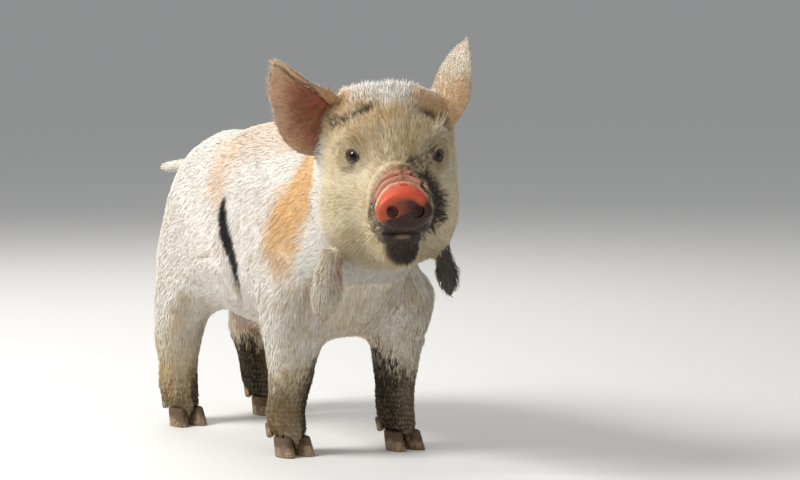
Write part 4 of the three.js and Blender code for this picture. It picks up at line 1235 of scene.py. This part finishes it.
class Unwrap:
    """Charts by node and by the side that the skin faces, packed into the unit square."""

    def __init__(self, places, normals, nodes):
        side = np.argmax(np.abs(normals), axis=1)
        front = np.take_along_axis(normals, side[:, None], 1)[:, 0] > 0
        chart = nodes * 6 + side * 2 + front
        flat = self.flatten(places, side)
        keys, self.index = np.unique(chart, return_inverse=True)
        lows = np.array([flat[chart == k].min(axis=0) for k in keys])
        sizes = np.array([np.ptp(flat[chart == k], axis=0) for k in keys])
        low, high = 1e-5, 1.0
        for _ in range(40):
            middle_of = (low + high) / 2
            if self.pack(sizes * middle_of) is None:
                high = middle_of
            else:
                low = middle_of
        self.scale, self.lows, self.spots = low, lows, self.pack(sizes * low)
        self.uv = self.laid_out(flat)

    def laid_out(self, flat):
        return (flat - self.lows[self.index]) * self.scale + self.spots[self.index]

    def of_corners(self, points, faces, across):
        """The place in the unwrap of each corner of each face."""
        side = np.argmax(np.abs(across), axis=1)
        uv = [self.laid_out(self.flatten(points[faces[:, i]], side)) for i in range(3)]
        return np.clip(np.stack(uv, 1), 0, 1).reshape(-1, 2)

    @staticmethod
    def flatten(places, side):
        pairs = np.array([[1, 2], [0, 2], [0, 1]])[side]
        return np.take_along_axis(places, pairs, 1)

    @staticmethod
    def pack(sizes):
        """The lower left corner of each chart, on shelves from the tallest down, if all fit."""
        spots = np.zeros_like(sizes)
        x = y = MARGIN
        shelf = 0.0
        for i in np.argsort(-sizes[:, 1]):
            wide, tall = sizes[i] + MARGIN
            if x + wide > 1:
                x, y, shelf = MARGIN, y + shelf, 0.0
            if x + wide > 1 or y + tall > 1:
                return None
            spots[i] = x, y
            x += wide
            shelf = max(shelf, tall)
        return spots


def add_vectors(mesh, name, values):
    layer = mesh.attributes.new(name, "FLOAT_VECTOR", "POINT")
    layer.data.foreach_set("vector", np.asarray(values, np.float32).ravel())


def add_marks(mesh, marks, place_of, strand):
    add_vectors(mesh, "marks_a", np.stack([marks["white"], marks["ginger"], marks["black"]], 1))
    add_vectors(mesh, "marks_b", np.stack([marks["mud"], marks["dust_and_shade"], marks["pink"]], 1))
    add_vectors(mesh, "place", place_of * MM)
    add_vectors(mesh, "strand", strand)


def add_bake_map(mesh, uv_of_corners):
    layer = mesh.uv_layers.new(name="OFBake")
    layer.data.foreach_set("uv", np.asarray(uv_of_corners, np.float32).ravel())


# ---- The coat -----------------------------------------------------------------------------------------

# One tuft: a three-sided lock, from its root ring over a middle ring to its tip. Each point has a
# share of the length, a place across and a height, as shares of the width.
LOCK = np.array([
    [0.0, -0.5, 0.0], [0.0, 0.5, 0.0], [0.0, 0.0, 0.3],
    [0.52, -0.4, 0.0], [0.52, 0.4, 0.0], [0.52, 0.0, 0.24],
    [1.0, 0.0, 0.05],
])
LOCK_FACES = np.array([
    [0, 5, 2], [0, 3, 5], [2, 4, 1], [2, 5, 4], [1, 3, 0], [1, 4, 3], [3, 6, 5], [5, 6, 4], [4, 6, 3],
])
ROOT_DEPTH = 0.5
NEIGHBOURS = 8  # tufts that lean together, on average
PATCH = 0.003  # how much of the unwrap one tuft covers
MOST_TUFTS = 199000 // len(LOCK_FACES)  # in one piece
CHANCES = ("turn", "length", "lift", "width", "tint", "stray")


def ripples(at):
    """Waves of the coat, from -1 to 1: across the thighs and flanks, and in rings on the legs."""
    thigh = smoothstep(30, 75, at.y) * smoothstep(110, 150, at.z)
    shoulder = smoothstep(-20, -60, at.y) * smoothstep(240, 200, at.z)
    body = np.isin(at.kind, ("trunk", "foreleg", "hindleg", "neck"))
    slant = (0.62 * at.y + 0.78 * at.z + 3.4 * noise(at.points, 17, 30)) / 4.6
    wave = np.sin(2 * math.pi * slant) * body * (0.25 + 0.6 * np.maximum(thigh, 0.6 * shoulder))
    leg = at.leg * smoothstep(112, 80, at.z)
    rings = np.sin(2 * math.pi * (at.z + 2.2 * noise(at.points, 9, 31)) / 4.4)
    return wave * (1 - leg) + rings * leg * 0.8


class Coat:
    """All the tufts: where each grows, how it lies, how large it is and how it is marked."""

    def __init__(self, points, faces, nodes):
        skin = Places(points, normals_of(points, faces), nodes)
        links = Links(len(points), faces)
        lie = lie_of_coat(skin, links)
        sizes = TuftSizes(skin, nodes)
        self.count = COAT_TRIANGLES // len(LOCK_FACES)
        which, shares = scattered(points, faces, sizes.density, self.count)

        def spread(values):
            return np.einsum("ij...,ij->i...", values[faces[which]], shares)

        self.root = spread(points)
        self.normal = unit(spread(skin.normals))
        self.owner = nodes[faces[which]][np.arange(self.count), np.argmax(shares, axis=1)]
        self.length, self.lift, self.width = (
            spread(links.relax(size, 6, 0.5)) for size in (sizes.length, sizes.lift, sizes.width))
        self.chance = dict(zip(CHANCES, random.random((len(CHANCES), self.count))))
        self.leader = self.found_leaders()
        self.lay(spread(lie))
        self.stray = 0.6 * (2 * self.chance["stray"] - 1) + 0.5 * (2 * self.shared_chance() - 1)
        at = Places(self.root, self.normal, self.owner, self.stray)
        self.wave = ripples(at)
        self.mud_and_shade = markings(at)["mud"]
        self.vary(at)

    def found_leaders(self):
        """For each tuft, the tuft that it leans with."""
        leaders = random.choice(self.count, self.count // NEIGHBOURS, replace=False)
        tree = KDTree(len(leaders))
        for i, p in enumerate(self.root[leaders].tolist()):
            tree.insert(p, i)
        tree.balance()
        return leaders[np.array([tree.find(p)[1] for p in self.root.tolist()])]

    def shared_chance(self):
        """A chance from 0 to 1 that is the same for all tufts that lean together."""
        return random.random(self.count)[self.leader]

    def lay(self, lie):
        """Turns the tufts a little from the lie of the coat."""
        lie = unit(lie - np.sum(lie * self.normal, axis=1)[:, None] * self.normal)
        across = np.cross(self.normal, lie)
        turn = (self.chance["turn"] - 0.5) * 0.36 + (self.shared_chance() - 0.5) * 0.22
        self.lie = lie * np.cos(turn)[:, None] + across * np.sin(turn)[:, None]
        self.across = np.cross(self.normal, self.lie)

    def vary(self, at):
        """Makes each tuft's size its own. Tufts in the mud mark, which also holds painted shade, are short
        and thick and stick together.
        """
        chance = self.chance
        self.length *= 0.7 + 0.55 * chance["length"] - 0.15 * self.mud_and_shade
        self.lift *= 0.35 + 1.1 * chance["lift"] ** 1.5 + 0.35 * (self.shared_chance() - 0.3)
        self.lift *= 1 + 0.35 * self.wave
        self.width *= 0.75 + 0.5 * chance["width"] + 0.25 * self.mud_and_shade
        for path, reach, chance_of_one, longer, higher in BRISTLES:
            long_one = (beyond(at.face, path) < reach) & (random.random(self.count) < chance_of_one)
            self.length[long_one] *= 1 + longer
            self.lift[long_one] += (higher * (0.4 + 0.8 * chance["lift"]))[long_one]
            self.width[long_one] *= 0.6
        tip = self.root + self.lie * self.length[:, None]
        pull = (tip[self.leader] - tip) * (0.16 + 0.4 * self.mud_and_shade)[:, None]
        far = np.linalg.norm(pull, axis=1)
        self.pull = pull * np.minimum(1, 0.3 * self.length / np.maximum(far, 1e-6))[:, None]

    def bodies(self):
        """The points of every tuft."""
        along, aside, high = LOCK.T
        rise = -ROOT_DEPTH + (self.lift + ROOT_DEPTH)[:, None] * (1 - (1 - along) ** 2.0)
        return (self.root[:, None] + self.lie[:, None] * (self.length[:, None] * along)[..., None]
                + self.across[:, None] * (self.width[:, None] * aside)[..., None]
                + self.normal[:, None] * (rise + self.width[:, None] * high)[..., None]
                + self.pull[:, None] * (along ** 1.5)[None, :, None])

    def marks(self):
        """The markings of every point of every tuft, each as those of the place it lies over."""
        levels, level_of = np.unique(LOCK[:, 0], return_inverse=True)
        at_levels = []
        for level in levels:
            ahead = self.length * (0.85 * level + 0.35 * self.stray * (1 - level))
            over = self.root + self.lie * ahead[:, None]
            at_levels.append(markings(Places(over, self.normal, self.owner, self.stray)))
        return {mark: np.stack([marks[mark] for marks in at_levels], 1)[:, level_of]
                for mark in at_levels[0]}

    def groups(self):
        """The name of the piece that each tuft belongs to."""
        at = Places(self.root, self.normal, self.owner)
        side = np.where(at.x < MIDLINE, "right", "left").astype(object)
        head_side = np.where(at.face[:, 0] < 0, "right", "left").astype(object)
        group = np.where(at.head, "coat_head_" + head_side,
                         "coat_" + at.kind.astype(object) + "_" + side)
        small = np.isin(at.kind, ("tail", "tassel", "ear"))
        group = np.where(small, "coat_ears_and_tail", group)
        for name in sorted(set(group.tolist())):
            here = np.flatnonzero(group == name)
            parts = math.ceil(len(here) / MOST_TUFTS)
            if parts > 1:
                order = np.argsort(at.y[here])
                for part, some in enumerate(np.array_split(here[order], parts)):
                    group[some] = f"{name}_{part + 1}"
        return group

    def own_share(self):
        """How far each tuft is shaded by its own shape rather than as the skin under it. Hair
        that stands off, or edges an ear, is seen from below too."""
        share = 0.17 + 0.5 * smoothstep(1.8, 4.5, self.lift)
        return np.where(np.array(KIND)[self.owner] == "ear", 0.62, share)

    def strands(self):
        """Each point's tint, share of the length and brightness of its lock, for the material. The lock's
        brightness is random, and is also painted shade that follows the ripples of the coat.
        """
        lock = np.clip(0.7 * self.shared_chance() + 0.15 + 0.3 * self.wave, 0, 1)
        tint = self.chance["tint"]
        return np.stack(np.broadcast_arrays(tint[:, None], LOCK[None, :, 0], lock[:, None]), -1)


def soften(mesh, bodies, normal, faces, own_share):
    """Shades each tuft mostly as the skin under it, as fine hair does."""
    own = normals_of(bodies.reshape(-1, 3), faces)
    base = np.repeat(normal, len(LOCK), axis=0)
    share = np.repeat(own_share, len(LOCK))[:, None]
    mesh.normals_split_custom_set_from_vertices(unit(share * own + (1 - share) * base).tolist())


def grow_coat(points, faces, nodes):
    """All the tufts, in pieces that each cover a part of the body."""
    coat = Coat(points, faces, nodes)
    bodies, marks, groups = coat.bodies(), coat.marks(), coat.groups()
    own_share, strands = coat.own_share(), coat.strands()
    local = np.stack([LOCK[:, 1], LOCK[:, 0] - 0.5], 1) * PATCH
    for name in sorted(set(groups.tolist())):
        chosen = np.flatnonzero(groups == name)
        starts = np.arange(len(chosen)) * len(LOCK)
        tufts = (LOCK_FACES[None] + starts[:, None, None]).reshape(-1, 3)
        piece = object_from(name, bodies[chosen].reshape(-1, 3), tufts, MATERIALS["coat"])
        add_marks(piece.data, {mark: values[chosen].ravel() for mark, values in marks.items()},
                  np.repeat(coat.root[chosen], len(LOCK), axis=0), strands[chosen].reshape(-1, 3))
        flat = Unwrap(coat.root[chosen], coat.normal[chosen], coat.owner[chosen])
        uv = flat.uv[:, None] + local[None]
        add_bake_map(piece.data, uv[:, LOCK_FACES.ravel()].reshape(-1, 2))
        soften(piece.data, bodies[chosen], coat.normal[chosen], tufts, own_share[chosen])
        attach(piece, "root")



# ---- Materials --------------------------------------------------------------------------------------

def tone(red, green, blue):
    """A colour given as the eye sees it, 0 to 255, for a shader."""
    return tuple(c / 12.92 if c <= 0.04045 else ((c + 0.055) / 1.055) ** 2.4
                 for c in (red / 255, green / 255, blue / 255)) + (1.0,)


class Paint:
    """A material and short ways to add nodes to it."""

    def __init__(self, name):
        self.material = bpy.data.materials.new(name)
        self.material.use_nodes = True
        self.tree = self.material.node_tree
        self.shader = self.tree.nodes["Principled BSDF"]

    def feed(self, socket, value):
        if isinstance(value, bpy.types.NodeSocket):
            self.tree.links.new(value, socket)
        else:
            socket.default_value = value

    def attribute(self, name):
        node = self.tree.nodes.new("ShaderNodeAttribute")
        node.attribute_name = name
        return node.outputs["Vector"]

    def parts(self, vector):
        node = self.tree.nodes.new("ShaderNodeSeparateXYZ")
        self.feed(node.inputs[0], vector)
        return tuple(node.outputs)

    def math(self, operation, *values):
        node = self.tree.nodes.new("ShaderNodeMath")
        node.operation = operation
        for socket, value in zip(node.inputs, values):
            self.feed(socket, value)
        return node.outputs[0]

    def times(self, first, second):
        return self.math("MULTIPLY", first, second)

    def between(self, value, low, high, to_low=0.0, to_high=1.0):
        node = self.tree.nodes.new("ShaderNodeMapRange")
        node.interpolation_type = "SMOOTHSTEP"
        for socket, given in zip(node.inputs, (value, low, high, to_low, to_high)):
            self.feed(socket, given)
        return node.outputs[0]

    def mix(self, share, first, second, blend="MIX"):
        node = self.tree.nodes.new("ShaderNodeMix")
        node.data_type = "RGBA"
        node.blend_type = blend
        self.feed(node.inputs[0], share)
        self.feed(node.inputs[6], first)
        self.feed(node.inputs[7], second)
        return node.outputs[2]

    def noise(self, where, scale, detail=2.0, roughness=0.5):
        node = self.tree.nodes.new("ShaderNodeTexNoise")
        self.feed(node.inputs["Vector"], where)
        for name, value in (("Scale", scale), ("Detail", detail), ("Roughness", roughness)):
            node.inputs[name].default_value = value
        return node.outputs["Fac"]

    def bump(self, height, strength, distance):
        node = self.tree.nodes.new("ShaderNodeBump")
        node.inputs["Strength"].default_value = strength
        node.inputs["Distance"].default_value = distance
        self.feed(node.inputs["Height"], height)
        self.feed(self.shader.inputs["Normal"], node.outputs[0])

    def finish(self, color, roughness, **more):
        """Feeds the shader and gives the material; further sockets by name, with _ for a space."""
        self.feed(self.shader.inputs["Base Color"], color)
        self.feed(self.shader.inputs["Roughness"], roughness)
        for name, value in more.items():
            self.feed(self.shader.inputs[name.replace("_", " ")], value)
        return self.material


CREAM = tone(222, 208, 168)
WHITE = tone(242, 241, 236)
GINGER = tone(222, 174, 116)
BLACK = tone(21, 19, 20)
DUST_AND_SHADE = tone(190, 158, 106)
BROWN = tone(118, 88, 56)
MUD_AND_SHADE = tone(98, 74, 44)
DARK_MUD_AND_SHADE = tone(15, 12, 9)
FLESH_PINK = tone(226, 150, 132)
SKIN_PINK = tone(228, 176, 156)
SNOUT_RED = tone(220, 88, 56)


def marked(paint, tint=None):
    """The colour of the skin, or of the coat where each tuft's tint is given, and the mud and painted shade
    on it.
    """
    white, ginger, black = paint.parts(paint.attribute("marks_a"))
    mud, dust_and_shade, pink = paint.parts(paint.attribute("marks_b"))
    where = paint.attribute("place")
    broad = paint.noise(where, 60, 3)
    fine = paint.noise(where, 900, 2)
    color = paint.mix(white, CREAM, WHITE)
    dusty = paint.times(dust_and_shade, paint.between(broad, 0.3, 0.7, 0.45, 0.95))
    color = paint.mix(dusty, color, DUST_AND_SHADE)
    color = paint.mix(ginger, color, GINGER)
    if tint:
        dark_hair = paint.times(paint.between(tint, 0.66, 0.9), paint.between(dust_and_shade, 0.5, 0.9))
        color = paint.mix(paint.times(dark_hair, 0.62), color, BROWN)
        color = paint.mix(paint.times(pink, 0.3), color, FLESH_PINK)
    else:
        color = paint.mix(paint.between(pink, 0.02, 0.5, 0.0, 0.5), color, SKIN_PINK)
        color = paint.mix(pink, color, SNOUT_RED)
    color = paint.mix(black, color, BLACK)
    # The mud mark carries painted shade as well as mud, in the same dark browns.
    dirt_and_shade = paint.mix(paint.between(fine, 0.3, 0.7, 0.8, 1.0), MUD_AND_SHADE, DARK_MUD_AND_SHADE)
    dirt_and_shade = paint.mix(paint.between(mud, 0.55, 0.88), MUD_AND_SHADE, dirt_and_shade)
    color = paint.mix(mud, color, dirt_and_shade)
    return color, mud


def coat_material():
    paint = Paint("coat")
    tint, along, lock = paint.parts(paint.attribute("strand"))
    color, mud = marked(paint, tint)
    # Painted shade: each tuft is darker towards its root and each lock in the troughs of the ripples, besides
    # its own random tone.
    shade = paint.times(paint.between(tint, 0, 1, 0.86, 1.08), paint.between(along, 0, 1, 0.92, 1.04))
    shade = paint.times(shade, paint.between(lock, 0, 1, 0.9, 1.06))
    node = paint.tree.nodes.new("ShaderNodeHueSaturation")
    paint.feed(node.inputs["Value"], shade)
    paint.feed(node.inputs["Color"], color)
    return paint.finish(node.outputs[0], paint.between(mud, 0, 1, 0.6, 0.5), Specular_IOR_Level=0.22)


def skin_material():
    paint = Paint("skin")
    color, _ = marked(paint)
    where = paint.attribute("place")
    creases = paint.noise(where, 420, 4, 0.65)
    pores = paint.noise(where, 1500, 2)
    # Painted shade: the skin is darker in the low places of its bumped creases.
    crease_shade = paint.mix(paint.between(creases, 0.3, 0.7), (0.62, 0.55, 0.52, 1), (1, 1, 1, 1))
    color = paint.mix(0.25, color, crease_shade, "MULTIPLY")
    paint.bump(paint.math("ADD", creases, paint.times(pores, 0.4)), 0.4, 0.0006)
    return paint.finish(color, paint.between(creases, 0.3, 0.7, 0.36, 0.55), Specular_IOR_Level=0.35,
                        Subsurface_Weight=0.12, Subsurface_Radius=(0.004, 0.0015, 0.001))


def eye_material():
    """Black pupil, dark brown streaked iris and a dull brownish white, all under a wet gloss."""
    paint = Paint("eye")
    share, pupil, turn = paint.parts(paint.attribute("iris"))
    ray = paint.tree.nodes.new("ShaderNodeCombineXYZ")
    paint.feed(ray.inputs[0], turn)
    paint.feed(ray.inputs[1], paint.times(share, 0.6))
    streaks = paint.noise(ray.outputs[0], 9, 3, 0.6)
    iris = paint.mix(paint.between(streaks, 0.35, 0.65), tone(34, 20, 13), tone(84, 52, 30))
    iris = paint.mix(paint.between(share, 0.75, 1.0), iris, tone(16, 10, 8))
    color = paint.mix(paint.between(share, 0.97, 1.1), iris, tone(128, 104, 92))
    color = paint.mix(paint.between(pupil, 0.36, 0.44), tone(5, 4, 5), color)
    return paint.finish(color, paint.between(streaks, 0, 1, 0.06, 0.1), IOR=1.376)


def horn_material():
    """Dull horn with growth rings and lengthwise streaks, under dried mud."""
    paint = Paint("horn")
    where = paint.attribute("place")
    soil, ring, _ = paint.parts(paint.attribute("wear"))
    stretched = paint.tree.nodes.new("ShaderNodeMapping")
    stretched.inputs["Scale"].default_value = (1, 1, 0.2)
    paint.feed(stretched.inputs["Vector"], where)
    streaks = paint.noise(stretched.outputs[0], 900, 3, 0.6)
    grain = paint.noise(where, 1400, 3, 0.6)
    color = paint.mix(paint.between(streaks, 0.35, 0.65), tone(108, 84, 60), tone(176, 150, 116))
    color = paint.mix(paint.times(ring, 0.45), color, tone(84, 66, 48))
    caked = paint.between(paint.math("ADD", soil, paint.times(grain, 0.5)), 0.55, 0.85)
    mud = paint.mix(paint.between(grain, 0.3, 0.7), tone(64, 48, 34), tone(112, 88, 60))
    color = paint.mix(caked, color, mud)
    paint.bump(paint.math("ADD", grain, paint.times(ring, -0.6)), 0.5, 0.0004)
    return paint.finish(color, paint.between(caked, 0, 1, 0.42, 0.8))


MATERIALS = {"coat": coat_material(), "skin": skin_material(), "eye": eye_material(),
             "horn": horn_material()}


# ---- Eyes and hooves --------------------------------------------------------------------------------

IRIS = math.radians(47)
GAZE_AHEAD = 0.3  # how far the eye turns from straight out of its socket to straight ahead
PUPIL_STRETCH = 1.25


def eyeball(gaze, right, over):
    """Points of a unit ball in rings round the gaze, closer near the pupil, their angles from
    the gaze, and the triangles."""
    rings, sides = 36, 48
    tilt = math.pi * (np.arange(1, rings) / rings) ** 1.25
    turn = 2 * math.pi * np.arange(sides) / sides
    a, b = np.broadcast_arrays(np.cos(turn)[None], np.sin(turn)[None])
    s, c = np.sin(tilt)[:, None], np.cos(tilt)[:, None]
    ball = c[..., None] * gaze + (s * a)[..., None] * right + (s * b)[..., None] * over
    ball = np.concatenate([gaze[None], ball.reshape(-1, 3), -gaze[None]])
    angle = np.concatenate([[0], np.repeat(tilt, sides), [math.pi]])
    ring = 1 + np.arange(rings - 2)[:, None] * sides
    i, j = np.arange(sides), (np.arange(sides) + 1) % sides
    quads = np.stack(np.broadcast_arrays(ring + i, ring + sides + i, ring + sides + j, ring + j), -1)
    quads = quads.reshape(-1, 4)
    last = 1 + (rings - 2) * sides
    caps = np.concatenate([np.stack([0 * i, 1 + i, 1 + j], 1),
                           np.stack([0 * i + len(ball) - 1, last + j, last + i], 1)])
    return ball, angle, np.concatenate([quads[:, :3], quads[:, [0, 2, 3]], caps])


def make_eye(name):
    """A ball with a bulging cornea, whose points know their place on the iris."""
    out, _, up = EYE_FRAMES[name]
    gaze = unit(out + GAZE_AHEAD * AHEAD)
    right = unit(np.cross(up, gaze))
    over = np.cross(gaze, right)
    ball, angle, faces = eyeball(gaze, right, over)
    share = angle / IRIS
    bulge = 0.5 * np.clip(1 - share ** 2, 0, 1) ** 1.5
    points = EYES[name] + ball * (EYE_RADIUS - 0.35 + bulge)[:, None]
    eye = object_from(f"eyeball_{name}", points, faces, MATERIALS["eye"])
    aside, above = unit(np.stack([ball @ right, ball @ over], 1)).T
    pupil = share * np.hypot(aside / PUPIL_STRETCH, above)
    add_vectors(eye.data, "iris", np.stack([share, pupil, np.abs(np.arctan2(above, aside))], 1))
    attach(eye, "root")
    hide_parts(f"eye_{name}")


HORN_VOXEL = 0.75
GROWTH_RING = 2.1


def claw(node):
    """One claw with rounded edges and a flat sole: its points, faces, and soil and ring."""
    points, faces = solid_of(node)
    points, faces = remeshed("draft", points + 0.25 * normals_of(points, faces), faces, HORN_VOXEL)
    points = Links(len(points), faces).relax(points, 5, 0.6)
    low, high = corners(node)
    height = points[:, 2] - low[2]
    turn = (points[:, 2] + 0.6 * noise(points, 5, 40)) / GROWTH_RING
    ring = 0.5 + 0.5 * np.sin(2 * math.pi * turn)
    rise = 0.16 * (ring - 0.5) * smoothstep(1.0, 2.5, height)
    points = points + normals_of(points, faces) * rise[:, None]
    if low[2] < 1:
        points[:, 2] = np.where(height < 0.6, 0, np.maximum(points[:, 2], 0))
    points = np.clip(points, low - 0.3, high + 0.3)
    soil = smoothstep(0.2, 1.0, (points[:, 2] - low[2]) / (high[2] - low[2])) * 0.45 + 0.3
    soil += 0.25 * noise(points, 5, 41)
    return points, faces, np.stack([soil, ring, 0 * ring], 1)


def make_horn(name, nodes):
    """Two claws of one foot as one piece."""
    claws = [claw(node) for node in nodes]
    points, faces = gathered([(points, faces) for points, faces, _ in claws])
    piece = object_from(name, points, faces, MATERIALS["horn"])
    add_vectors(piece.data, "place", points * MM)
    add_vectors(piece.data, "wear", np.concatenate([wear for _, _, wear in claws]))
    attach(piece, "root")
    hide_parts(*nodes)


# ---- Making the animal ------------------------------------------------------------------------------

def fine_places(points):
    """The parts of the skin that keep all their small faces: the face and the ears."""
    face = to_face(points)
    front = (face[:, 1] < 14) & (face[:, 2] > -92) & (face[:, 2] < 40)
    ears = (face[:, 2] > 16) & (np.abs(face[:, 0]) > 34)
    return front | ears


def make_animal():
    points, faces = make_skin()
    points, faces = thinned(points, faces, fine_places(points))
    nodes = nearest_node(points)
    skin = object_from("skin", points, faces, MATERIALS["skin"])
    marks = markings(Places(points, normals_of(points, faces), nodes))
    add_marks(skin.data, marks, points, np.zeros_like(points))
    across = unit(face_normals(points, faces))
    flat = Unwrap(points[faces].mean(axis=1), across, nodes[faces[:, 0]])
    add_bake_map(skin.data, flat.of_corners(points, faces, across))
    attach(skin, "root")
    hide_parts(*FLESH)
    grow_coat(points, faces, nodes)
    for name, _ in SIDES:
        make_eye(name)
    for leg in LEGS:
        make_horn(f"hooves_{leg}", [f"hoof_{leg}_{name}" for name, _ in SIDES])
        make_horn(f"dewclaws_{leg}", [f"dewclaw_{leg}_{name}" for name, _ in SIDES])


make_animal()
